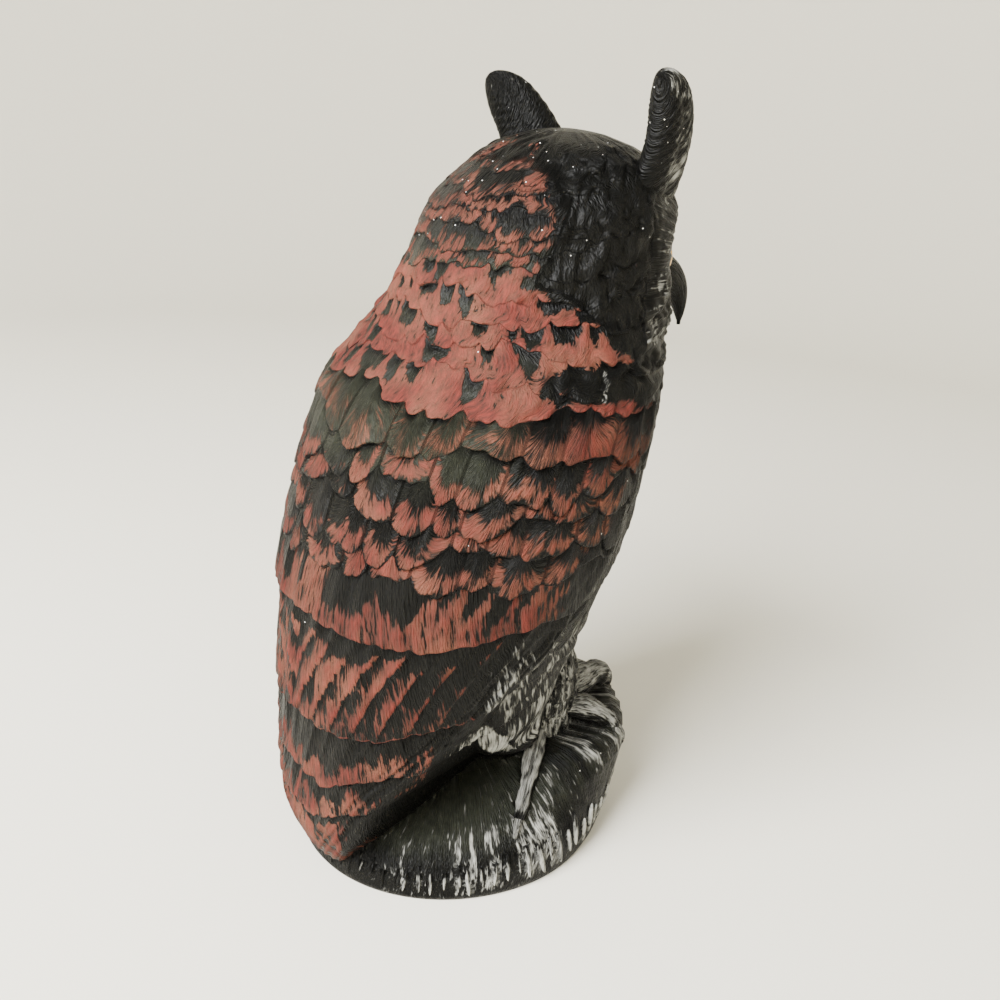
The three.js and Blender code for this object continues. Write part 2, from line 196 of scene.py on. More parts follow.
paints = {
    # painted shade: a deeper black where shade falls, just under the feather tips and in the rock's furrows
    "black": "070706", "recessShade": "040404", "plastic": "292b23",
    "coral": "682b25", "coralPale": "6f4838", "coralThin": "2f1f1a",
    # the last colour on the next line is a painted glint, white where glitter catches the light
    "silver": "94948e", "silverThin": "3a3a38", "glitterGlint": "e8e8e4",
    "tooth": (2.0e-3, 9e-3), "slit": (0.9e-3, 4.5e-3),  # brush marks: width and length along the barbs
    "blot": 4e-3, "film": 0.7e-3, "tone": 26e-3, "fleckSpacing": 3.0e-3, "fleckSize": 0.1,
    "toothShare": 0.5, "slitShare": 0.36, "blotShare": 0.14, "contrast": 4.4, "hairyFade": 0.34,
    "coats": {"coral": ("X", 0.13, 2.1), "silver": ("Y", 0.12, 1.2)},  # channel, edge, amount of a full coat
    "matt": 0.75, "satin": 0.4, "specular": 0.09,
    "bumpHeight": 2.2e-3, "bumpStrength": 0.9, "coatHeight": 0.14, "slitHeight": 0.5, "wrinkledCalm": -0.55,
}


def brushedPaint():  # satin black acrylic over polyethylene, dry-brushed in matt coral and silver grey
    material, tree = newMaterial("dryBrushedAcrylic")
    barb, paint, ground = (node(tree, "ShaderNodeAttribute", {"attribute_name": key}).outputs["Vector"]
                           for key in layerNames)
    amount = node(tree, "ShaderNodeSeparateXYZ", links={"Vector": paint}).outputs
    under = node(tree, "ShaderNodeSeparateXYZ", links={"Vector": ground}).outputs
    place = node(tree, "ShaderNodeTexCoord").outputs["Object"]

    # brush marks: wide teeth and narrow slits drawn out along the barbs, and round blots
    marks = {}
    for key in ("tooth", "slit"):
        width, length = paints[key]
        drawn = node(tree, "ShaderNodeMapping", {"Scale": (1 / width, 1 / length, 9.1)}, {"Vector": barb})
        marks[key] = node(tree, "ShaderNodeTexNoise", {"Scale": 1.0, "Detail": 2.0}, {"Vector": drawn})
    for key, detail in (("blot", 4.0), ("film", 2.0), ("tone", 2.0)):
        marks[key] = node(tree, "ShaderNodeTexNoise", {"Scale": 1 / paints[key], "Detail": detail},
                          {"Vector": place})
    grain = node(tree, "ShaderNodeMath", {"operation": "MULTIPLY", 1: paints["toothShare"]},
                 {0: marks["tooth"]})
    for key in ("slit", "blot"):
        grain = node(tree, "ShaderNodeMath", {"operation": "MULTIPLY_ADD", 1: paints[key + "Share"]},
                     {0: marks[key], 2: grain})
    spread = node(tree, "ShaderNodeMath", {"operation": "SUBTRACT", 1: 0.5}, {0: grain})

    # a coat shows where its amount and the brush marks together pass one half; hairy coats fade softly
    masks = {}
    for name, (channel, edge, full) in paints["coats"].items():
        coat = node(tree, "ShaderNodeMath", {"operation": "MULTIPLY_ADD", 1: paints["contrast"]},
                    {0: spread, 2: amount[channel]})
        low, high = (node(tree, "ShaderNodeMath", {"operation": "MULTIPLY_ADD", 1: way * paints["hairyFade"],
                                                   2: 0.5 + way * edge}, {0: amount["Z"]}) for way in (-1, 1))
        masks[name] = node(tree, "ShaderNodeMapRange", {"interpolation_type": "SMOOTHSTEP"},
                           {"Value": coat, "From Min": low, "From Max": high})
        masks[name + "Thick"] = node(tree, "ShaderNodeMapRange", {"From Min": 0.5, "From Max": full},
                                     {"Value": coat})
    bareness = {"From Min": 0.3, "From Max": 0.7, "To Min": 0.4, "To Max": 0.9}
    bareness = node(tree, "ShaderNodeMapRange", bareness, {"Value": marks["blot"]})
    bareness = node(tree, "ShaderNodeMath", {"operation": "MULTIPLY"}, {0: bareness, 1: under["Y"]})

    # painted glints: white specks, 0.6 mm across, where glitter would catch the light, mostly on the top of
    # the head
    specks = node(tree, "ShaderNodeTexVoronoi", {"Scale": 1 / paints["fleckSpacing"]}, {"Vector": place})
    lot = node(tree, "ShaderNodeSeparateColor", links={"Color": specks.outputs["Color"]})
    high = node(tree, "ShaderNodeSeparateXYZ", links={"Vector": place}).outputs["Z"]
    rarity = {"From Min": 0.32, "From Max": 0.37, "To Min": 0.992, "To Max": 0.7}
    rarity = node(tree, "ShaderNodeMapRange", rarity, {"Value": high})
    dot = node(tree, "ShaderNodeMath", {"operation": "LESS_THAN", 1: paints["fleckSize"]},
               {0: specks.outputs["Distance"]})
    rare = node(tree, "ShaderNodeMath", {"operation": "GREATER_THAN"}, {0: lot, 1: rarity})
    glitterGlint = node(tree, "ShaderNodeMath", {"operation": "MULTIPLY"}, {0: dot, 1: rare})
    tone = node(tree, "ShaderNodeMapRange", {"From Min": 0.42, "From Max": 0.72}, {"Value": marks["tone"]})
    tone = node(tree, "ShaderNodeMath", {"operation": "MAXIMUM"}, {0: tone, 1: amount["Z"]})
    worn = node(tree, "ShaderNodeMath", {"operation": "MULTIPLY"}, {0: marks["film"], 1: tone})

    # the coats lie over each other: each mix takes what lies below it, or its thin colour, and a colour
    coral, silver = (
        node(tree, "ShaderNodeMix", {"data_type": "RGBA", 6: paints[name + "Thin"], 7: paints[name]},
             {0: masks[name + "Thick"]}) for name in paints["coats"])
    coral = node(tree, "ShaderNodeMix", {"data_type": "RGBA", 7: paints["coralPale"]}, {0: worn, 6: coral})
    colour = node(tree, "ShaderNodeMix", {"data_type": "RGBA", 6: paints["black"], 7: paints["plastic"]},
                  {0: bareness})
    # painted shade darkens the ground under the tips and in the furrows
    colour = node(tree, "ShaderNodeMix", {"data_type": "RGBA", 7: paints["recessShade"]},
                  {0: under["X"], 6: colour})
    for share, coat in ((masks["silver"], silver), (masks["coral"], coral)):
        colour = node(tree, "ShaderNodeMix", {"data_type": "RGBA"}, {0: share, 6: colour, 7: coat})
    # painted glints laid over all the coats
    colour = node(tree, "ShaderNodeMix", {"data_type": "RGBA", 7: paints["glitterGlint"]}, {0: glitterGlint, 6: colour})

    # paint is matter than the plastic, and lies about 0.3 mm thick on it; crumpled parts are calmer
    coated = node(tree, "ShaderNodeMath", {"operation": "MAXIMUM"}, {0: masks["coral"], 1: masks["silver"]})
    rough = node(tree, "ShaderNodeMapRange", {"To Min": paints["satin"], "To Max": paints["matt"]},
                 {"Value": coated})
    calm = node(tree, "ShaderNodeMath", {"operation": "MULTIPLY_ADD", 1: paints["wrinkledCalm"], 2: 1.0},
                {0: under["Z"]})
    height = node(tree, "ShaderNodeMath", {"operation": "MULTIPLY_ADD", 1: paints["slitHeight"]},
                  {0: marks["slit"], 2: grain})
    height = node(tree, "ShaderNodeMath", {"operation": "MULTIPLY"}, {0: height, 1: calm})
    height = node(tree, "ShaderNodeMath", {"operation": "MULTIPLY_ADD", 1: paints["coatHeight"]},
                  {0: coated, 2: height})
    bump = node(tree, "ShaderNodeBump",
                {"Strength": paints["bumpStrength"], "Distance": paints["bumpHeight"]}, {"Height": height})
    shader = node(tree, "ShaderNodeBsdfPrincipled", {"IOR": 1.5, "Specular IOR Level": paints["specular"]},
                  {"Base Color": colour, "Roughness": rough, "Normal": bump})
    node(tree, "ShaderNodeOutputMaterial", links={"Surface": shader})
    return material


acrylic = brushedPaint()


# shells: closed meshes from rings of points

def shell(name, rings, start, end, layers=None):
    count, around = rings.shape[:2]
    points = np.concatenate([[start], rings.reshape(-1, 3), [end]])
    at = 1 + np.arange(count * around).reshape(count, around)
    following = np.roll(at, -1, axis=1)
    quads = np.stack([at[:-1], following[:-1], following[1:], at[1:]], -1).reshape(-1, 4)
    first = np.stack([np.zeros(around, int), following[0], at[0]], -1)
    last = np.stack([np.full(around, len(points) - 1), at[-1], following[-1]], -1)
    a, b, c, d = (points[quads[:, k]] for k in range(4))
    volume = (a * np.cross(b, c)).sum() + (a * np.cross(c, d)).sum()
    faces = quads.tolist() + first.tolist() + last.tolist()
    if volume < 0:
        faces = [face[::-1] for face in faces]
    mesh = bpy.data.meshes.new(name)
    mesh.from_pydata(points.tolist(), [], faces)
    piece = addObject(name, mesh)
    paintLayers(piece, layers or {}, (count, around))
    return piece


def paintLayers(piece, layers, shape=None):  # shape: the rings of a shell, which has a point more at each end
    count = len(piece.data.vertices)
    for key in layerNames:
        grid = np.zeros((*(shape or (count,)), 3))
        for k, part in enumerate(layers.get(key, [])):
            grid[..., k] = part
        flat = np.concatenate([[grid[0].mean(0)], grid.reshape(-1, 3), [grid[-1].mean(0)]]) if shape else grid
        layer = piece.data.attributes.new(key, "FLOAT_VECTOR", "POINT")
        layer.data.foreach_set("vector", flat.astype(np.float32).ravel())
    made = piece.data.attributes.new("known", "FLOAT", "POINT")
    made.data.foreach_set("value", np.ones(count, np.float32))


def fullTurn(sides):
    return np.linspace(0, 2 * math.pi, sides, endpoint=False)


def limb(name, curve, steps, sides, radius, wide, relief=None, layers=None):
    # curve(t) gives the middle line, radius(t) two half widths, relief(t, turn) what stands off the ellipse
    t = np.linspace(0, 1, steps + 1)
    centre = curve(t)
    tangent = np.gradient(centre, axis=0)
    tangent /= np.linalg.norm(tangent, axis=1, keepdims=True)
    first = np.asarray(wide, float) - (tangent @ np.asarray(wide, float))[:, None] * tangent
    first /= np.linalg.norm(first, axis=1, keepdims=True)
    second = np.cross(tangent, first)
    grow, around = np.meshgrid(t, fullTurn(sides), indexing="ij")
    a, b = radius(grow)
    lift = relief(grow, around) if relief else 0
    out = first[:, None] * ((a + lift) * np.cos(around))[..., None]
    out = out + second[:, None] * ((b + lift) * np.sin(around))[..., None]
    rings = centre[:, None] + out
    return shell(name, rings, centre[0], centre[-1], layers(grow, around) if layers else None)


def bezier(a, b, c):
    a, b, c = (np.asarray(point, float) for point in (a, b, c))
    return lambda t: np.outer((1 - t) ** 2, a) + np.outer(2 * t * (1 - t), b) + np.outer(t**2, c)


def throughPoints(points):  # a smooth line through a few points
    points = np.asarray(points, float)
    keys = np.concatenate([[0], np.cumsum(np.linalg.norm(np.diff(points, axis=0), axis=1))])
    keys = keys / keys[-1]
    table = np.column_stack([keys, points])
    return lambda t: np.column_stack([along(table, t, k) for k in (1, 2, 3)])


# the bird's skin

def sectionPoint(sections, angle, height):
    level = height / percent
    front, back, half = (along(sections, level, k) * percent for k in (1, 2, 3))
    roundness = mix(0.92, 1.02, smooth(level, 72, 80))

    def swell(v):
        return np.sign(v) * np.abs(v) ** roundness

    x = -half * swell(np.sin(angle))
    y = (front + back) / 2 + (back - front) / 2 * swell(np.cos(angle))
    return np.stack([x, y, height], -1)


def turnHead(point, share=1.0):
    turn = -math.radians(bird["headTurn"]) * np.asarray(share)
    neck = bird["neckForward"] * percent
    x, y = point[..., 0], point[..., 1] + neck
    c, s = np.cos(turn), np.sin(turn)
    return np.stack([c * x - s * y, s * x + c * y - neck, point[..., 2]], -1)


face = {
    "eyeRadius": 12.5 * mm,
    "discRadius": 33 * mm,
    "discDepth": 8 * mm,
    "rimHeight": 2.2 * mm,
    "browHeight": 1.6 * mm,
    "eyeSink": 4.2 * mm,
    "bridgeHeight": 5 * mm,
    "barbs": 46,  # rays of each facial disc
    "barbHeight": 0.45 * mm,
    "enamels": (0.5, 0.88),  # the iris and the pupil: cosines of the angle round an eye
}
eyeHeight, eyeSide, faceRadius = 85 * percent, 7.2 * percent, 17.5 * percent


def facePlace(angle, height):  # distance from the nearer eye and the direction from it
    dx = np.abs(np.sin(angle) * faceRadius) - eyeSide
    dz = height - eyeHeight
    return dx, dz, np.hypot(dx, dz), np.arctan2(dz, dx)


def faceRelief(angle, height):
    dx, dz, far, _ = facePlace(angle, height)
    disc = face["discRadius"]
    dish = -face["discDepth"] * (1 - smooth(far, disc * 0.25, disc * 0.9))
    rim = face["rimHeight"] * bell(far - disc, 1.6 * percent)
    browLine = dz - 1.2 * face["eyeRadius"] - 0.45 * dx
    browEnd = smooth(eyeSide * 0.96 - np.abs(dx), 0, 4 * percent)
    brow = face["browHeight"] * bell(browLine, 1.9 * percent) * browEnd
    bridge = face["bridgeHeight"] * bell(dx + eyeSide, 2.6 * percent)
    bridge = bridge * bell(height - 82 * percent, 5 * percent)
    return np.where(np.cos(angle) > 0, 0, dish + rim + brow + bridge - 1.5 * mm)


# Feather rows from the crown down. scallop and wander are in hundredths of the crown height, jag, the steps
# (wing, front) and camber in mm. open: the share of tips that stand free, closed: what is left of the step
# elsewhere. Paint, in mm: band: height of the painted tip, teeth: length of its ragged edge, lip: bare rim,
# holes: bare under a tip, uneven: how much the band varies. load and hairy: how thick and how soft it is.
plumageKeys = ("feathers", "scallop", "jag", "wander", "wing", "front", "camber", "open", "closed",
               "band", "teeth", "lip", "holes", "uneven", "load", "hairy")
plumage = {kind: dict(zip(plumageKeys, values)) for kind, values in {
    "crown": (30, 0.4, 0.9, 0.6, 0.9, 0.5, 0.3, 0.5, 0.2, 3.0, 5.0, 0.3, 0.0, 4.0, 0.3, 0.3),
    "nape": (32, 0.5, 1.3, 0.9, 1.3, 1.2, 0.3, 0.7, 0.3, 4.2, 6.5, 0.3, 0.0, 5.0, 0.4, 0.3),
    "mantle": (34, 0.8, 1.3, 1.0, 1.9, 1.6, 0.0, 0.78, 0.0, 30.0, 4.0, -3.5, 6.8, 2.0, 0.6, 0.0),
    "fringe": (24, 1.3, 1.6, 1.7, 3.2, 2.0, 0.4, 0.7, 0.3, 8.0, 16.0, -1.0, 3.0, 6.0, 0.12, 0.9),
    "scapular": (27, 1.5, 1.5, 1.4, 2.6, 2.4, 0.9, 0.9, 0.4, 9.2, 6.0, 0.2, 0.0, 5.5, 0.5, 0.1),
    "covert": (26, 0.4, 0.5, 0.3, 4.0, 2.6, 0.6, 1.0, 0.6, 11.0, 9.0, -2.0, 0.0, 6.0, 0.34, 0.0),
    "breast": (22, 1.0, 1.0, 0.4, 0.0, 2.6, 0.9, 1.0, 0.4, 9.0, 8.0, 0.0, 0.0, 3.0, 0.4, 0.2),
    "primary": (26, 0.5, 0.5, 0.2, 4.0, 2.6, 0.2, 1.0, 0.7, 70.0, 14.0, -1.5, 9.0, 4.0, 0.16, 0.0),
    "tail": (18, 0.5, 0.5, 0.2, 4.0, 1.6, 0.4, 1.0, 0.8, 9.0, 8.0, -2.0, 0.0, 5.0, 0.4, 0.0),
}.items()}
# kind, rows, then the first and the last row's edge: where its tips end at the middle of the back, at the
# wing's front edge and at the middle of the front, in hundredths of the crown height
rowPlan = [
    ("crown", 1, (97.4, 97.4, 97.4), None),
    ("nape", 6, (94.8, 94.8, 94.8), (84.2, 84.2, 84.2)),
    ("mantle", 4, (81.4, 81.4, 81.4), (73, 73, 73)),
    ("mantle", 1, (69.4, 70, 70.4), None),
    ("fringe", 1, (64.8, 65.6, 66.4), None),
    ("scapular", 4, (60.8, 61.6, 62.8), (49.2, 51.4, 54)),
    ("covert", 1, (40.8, 43.8, 50), None),
    ("breast", 2, (35.8, 39.8, 46), (30.8, 35.2, 42)),
    ("primary", 1, (26, 30.8, 38), None),
    ("tail", 2, (17.6, 22.6, 32), (11.6, 16, 26)),
]


def featherRows():
    rows = []
    for kind, count, first, last in rowPlan:
        for i in range(count):
            edge = [mix(a, b, i / max(1, count - 1)) for a, b in zip(first, last or first)]
            rows.append({"kind": kind, "edge": edge, "index": len(rows), **plumage[kind]})
    return rows


rows = featherRows()


def ofRows(key, rowIndex):  # a value of each vertex's row; below the last row the tail goes on
    return np.array([row[key] for row in rows] + [plumage["tail"].get(key, "tail")])[rowIndex]


def featherTurns(row, place):  # which feather a place belongs to, and how far across it, with uneven widths
    turns = place / (2 * cadColumns) * row["feathers"] + (row["index"] % 2) / 2
    wobble = 0.16 * np.sin(turns * 2.4 + row["index"] * 1.7) + 0.06 * np.sin(turns * 5.1 + row["index"])
    turns = turns + wobble
    return np.floor(turns), turns - np.floor(turns)


def edgeHeight(row, place):
    off, index = np.abs(place), row["index"]
    back, side, front = row["edge"]
    climb = (side - back) * smooth(off, 6, wingColumns) + (front - side) * smooth(off, wingColumns, 28)
    feather, across = featherTurns(row, place)
    droop = 0.5 + 1.0 * randomAt(feather, index, bird["seed"])
    calm = 1 - smooth(off / cadColumns * 180, 95, 115) * (back > 71)  # the face has no rows
    scallop = row["scallop"] * droop * calm
    wander = np.sin(place * 0.41 + index * 1.9) + 0.7 * np.sin(place * 0.97 + index * 4.1)
    tip = back + climb + row["wander"] * wander * 0.6 * calm
    jag = (softNoise(place * 2.1, 0 * place + index * 3.7, 8) - 0.5) * 2 * row["jag"] * mm * calm
    return (tip - scallop * (1 - np.abs(2 * across - 1) ** 2.4)) * percent + jag


def rowEdges(place):  # no row crosses the one above it
    edges = [edgeHeight(row, place) for row in rows]
    for i in range(1, len(edges)):
        edges[i] = np.minimum(edges[i], edges[i - 1] - bird["rowGap"])
    return np.array(edges)


def columnAngle(place, level):  # the columns crowd together at the wing's front edge, where the wall is steep
    even = np.abs(place) / cadColumns * 180
    edge = along(wingEdge, level, 1)
    wall, spread = 2.6, 1.4
    off = np.abs(place)
    onWing = off / (wingColumns - spread) * (edge - wall)
    inWall = edge + (off - wingColumns) / spread * wall
    onTrunk = 180 - (cadColumns - off) / (cadColumns - wingColumns - spread) * (180 - edge - wall)
    crowded = np.where(off < wingColumns + spread, inWall, onTrunk)
    crowded = np.where(off < wingColumns - spread, onWing, crowded)
    return np.radians(mix(crowded, even, smooth(level, 40, 50))) * np.sign(place)


def ringHeights(edges):  # heights of all rings, and the number of the row above each
    bounds = [np.full(edges.shape[1], bodyTop * percent), *edges, np.full(edges.shape[1], bodyFoot * percent)]
    nose, lip = bird["tipRound"], bird["tipLip"]
    rings, above = [], []
    for i in range(len(bounds) - 1):
        isLow = i < len(bounds) - 2  # a row of tips ends this blade
        start = bounds[i] - (lip if i else 0)
        end = bounds[i + 1] + (lip if isLow else 0)
        inner = [start - nose * 0.6] if i else []
        outer = [end + nose * 0.45, end + nose] if isLow else []
        fromZ, toZ = (inner or [start])[0], (outer or [end])[-1]
        steps = max(1, round(float((fromZ - toZ).mean()) / bird["ringStep"]))
        blade = [mix(fromZ, toZ, k / steps) for k in range(steps + 1)]
        chain = ([start] if i else []) + blade + (outer[-2::-1] if outer else []) + ([end] if outer else [])
        rings += chain
        above += [i] * len(chain)
    return np.array(rings), np.array(above)


def familyRows(above, key):  # for each ring, the nearest row above and below that has a step of its own
    standing = [i for i, row in enumerate(rows) if row[key] > 0]
    upper = [max([i for i in standing if i < place], default=-1) for place in above]
    lower = [min([i for i in standing if i >= place], default=len(rows)) for place in above]
    return np.array(upper), np.array(lower)


def bladePlaces(edges, heights, above, place, key):  # where each vertex lies on its feather
    upper, lower = familyRows(above, key)
    bounded = np.concatenate([[np.full(len(place), crown)], edges, [np.full(len(place), bodyFoot * percent)]])
    ends = [(0 * place, 0 * place + 0.5)]
    turned = np.array(ends + [featherTurns(row, place) for row in rows] + ends)

    def ofIndex(index, name, end=0):  # end: the value above the first row and below the last
        return np.array([end, *[row[name] for row in rows], end])[index + 1][:, None]

    def opening(index):  # the half-moon in which a tip stands free
        feather, across = turned[index + 1, 0], turned[index + 1, 1]
        number = index[:, None] + 0 * heights
        halfWidth = 0.26 + 0.24 * randomAt(feather, number, 31)
        offMiddle = across - (0.4 + 0.2 * randomAt(feather, number, 32))
        isOpen = randomAt(feather, number, 33) < ofIndex(index, "open")
        return halfWidth, offMiddle, isOpen, randomAt(feather, number, 34)

    halfWidth, offMiddle, isOpen, chance = opening(upper)
    arch = np.sqrt(np.clip(1 - (offMiddle / halfWidth) ** 2, 0, 1))
    closed = ofIndex(upper, "closed", 1)
    ownWidth, ownOff, ownOpen, _ = opening(lower)
    return {
        "under": np.maximum(bounded[upper + 1] - heights, 0),  # how far below the edge of the row above
        "over": np.maximum(heights - bounded[lower + 1], 0),  # how far above its own tip
        "stepAbove": ofIndex(upper, key) * mm, "step": ofIndex(lower, key) * mm,
        "free": closed + (1 - closed) * (arch * isOpen), "aboveChance": chance,
        "ownFree": smooth(ownWidth - np.abs(ownOff), -0.06, 0.06) * ownOpen,
        "camber": ofIndex(lower, "camber") * mm, "row": lower[:, None] + 0 * heights,
        "feather": turned[lower + 1, 0], "across": turned[lower + 1, 1],
    }


def bladeDepth(blade):  # how far a vertex lies below the level of the tips
    length = blade["under"] + blade["over"] + 1e-6
    rise = (blade["under"] / length) ** 0.8
    depth = blade["stepAbove"] * blade["free"] * (1 - rise)
    nose = np.clip(1 - blade["over"] / bird["tipRound"], 0, 1) ** 2
    depth = depth + 0.3 * blade["step"] * nose * (0.25 + 0.75 * blade["ownFree"])
    side = np.abs(2 * blade["across"] - 1)
    return depth + blade["camber"] * side**3 * smooth(blade["under"] / length, 0.05, 0.7)


def sculptBody():
    columns = bird["columns"]
    place = (np.arange(columns) + 0.5 - columns / 2) * (2 * cadColumns / columns)
    edges = rowEdges(place)
    heights, above = ringHeights(edges)
    level = heights / percent
    angle = columnAngle(place[None, :] + 0 * level, level)
    degrees = np.degrees(np.abs(angle))
    wing = smooth(along(wingEdge, level, 1) - degrees, -2.5, 2.5)
    base = mix(sectionPoint(innerSections, angle, heights), sectionPoint(outerSections, angle, heights),
               wing[..., None])
    stride = np.hypot(*np.moveaxis(np.diff(base[..., :2], axis=1, append=base[:, :1, :2]), -1, 0))
    reach = np.cumsum(stride, axis=1) - stride / 2  # metres round the body from the middle of the back
    reach = reach - reach[:, columns // 2 - 1: columns // 2].mean(1, keepdims=True)

    behind = np.where(level > 53, smooth(np.cos(angle), -0.7, -0.2), wing)
    wingBlade, frontBlade = (bladePlaces(edges, heights, above, place, key) for key in ("wing", "front"))
    depth = mix(bladeDepth(frontBlade), bladeDepth(wingBlade), behind)
    blade = {key: np.where(behind > 0.5, wingBlade[key], frontBlade[key]) for key in wingBlade}

    chin = 1.6 * (softNoise(place / 2.3, 0 * place, 51) - 0.5)[None, :]  # the face's lower edge is ragged
    onFace = smooth(level + chin, 70.6, 76.4) * smooth(degrees, 95, 115)
    breast = bird["wingStep"] * (1 - wing) * (1 - smooth(level, 72, 80)) * smooth(level, 34, 40)
    layers = bodyPaint(blade, degrees, level, heights, angle, stride, reach, wing, onFace)
    barbRelief, crumpled = layers.pop("relief"), layers.pop("crumpled")
    depth = depth * (1 - onFace) * (1 - 0.95 * crumpled)
    out = faceRelief(angle, heights) * onFace - breast - depth + barbRelief - bird["inset"]
    away = np.stack([-np.sin(angle), np.cos(angle), 0 * angle], -1)
    skin = turnHead(base + away * out[..., None], smooth(level, 70, 84))

    crownPoint = turnHead(np.array([0, -12 * percent, crown]))
    capShares = np.array([0.2, 0.4, 0.6, 0.8])[:, None, None]
    cap = mix(crownPoint, skin[:1], capShares)
    cap[..., 2] = crown - (crown - skin[0, :, 2]) * capShares[..., 0] ** 1.7
    skin = np.concatenate([cap, skin])
    for key, parts in layers.items():
        layers[key] = [np.concatenate([np.repeat(part[:1], len(cap), 0), part]) for part in parts]
    return shell("body", skin, crownPoint, np.array([0, 0, bodyFoot * percent]), layers)


# Where each colour is brushed on: level, degrees from the middle of the back.
coralLimit = np.array([
    [3, 46], [9, 46], [14, 44], [18, 56], [24, 68], [29, 78], [33, 74], [38, 66], [42, 84], [46, 92],
    [50, 90], [55, 100], [60, 109], [66, 108], [70.2, 102], [71.2, 68], [73.5, 64], [74.8, 92], [77, 88],
    [79, 78], [81.5, 68], [83, 53], [86, 57], [91, 57], [93, 50], [95, 42], [97, 34], [98.4, 24], [99.5, 5],
])
silverLimit = np.array([
    [3, 60], [21, 62], [25, 70], [30, 84], [36, 92], [42, 98], [50, 108], [56, 116], [66, 118], [74, 112],
    [80, 110], [90, 112], [96, 130], [99.5, 180],
])
vane = {"width": 13 * mm, "lean": 32, "barbLean": 14, "height": 1.5 * mm}  # long feathers of the folded wing
wrinkles = {"width": 5.4 * mm, "length": 6.4 * mm, "height": 2.0 * mm}  # small feathers of the head's sides
parting = {"degrees": 84, "halfWidth": 0.6, "levels": (70, 74), "silver": 0.5}  # the mould's line at the neck
thighGroove = {
    "level": 23.6, "paintLevel": 23.4, "slope": 0.38, "degrees": 76, "halfWidth": 0.5, "depth": 1.6 * mm,
}
wingGrooves = {"spacing": 6.2 * mm, "depth": 0.9 * mm, "topLevel": 41}  # along the wing's front edge
mantleLumps = {"height": 3.2 * mm, "barbLength": 1.8, "smoother": 0.6}  # there the feathers run together
coralMarks = {
    # in mm: how far flames rise from a tip, paint on the end of the tail, and the painted rims of the tips
    "flames": {"covert": 24, "tail": 9}, "tailEnd": 34, "rims": {"tail": 2.4, "covert": 2.2, "primary": 1.4},
    "spikes": 5, "bridging": 3.5,
    "flameWidth": 6.5 * mm, "combWidth": 2.5 * mm, "spikeWidth": 2.9 * mm,
}


def vanePlace(reach, heights):  # how far across its long feather a vertex lies
    turns = (np.abs(reach) - math.tan(math.radians(vane["lean"])) * (heights - 116 * mm)) / vane["width"]
    turns = turns + 0.25 * np.sin(heights / (17 * mm)) * np.sign(reach)
    return turns - np.floor(turns)


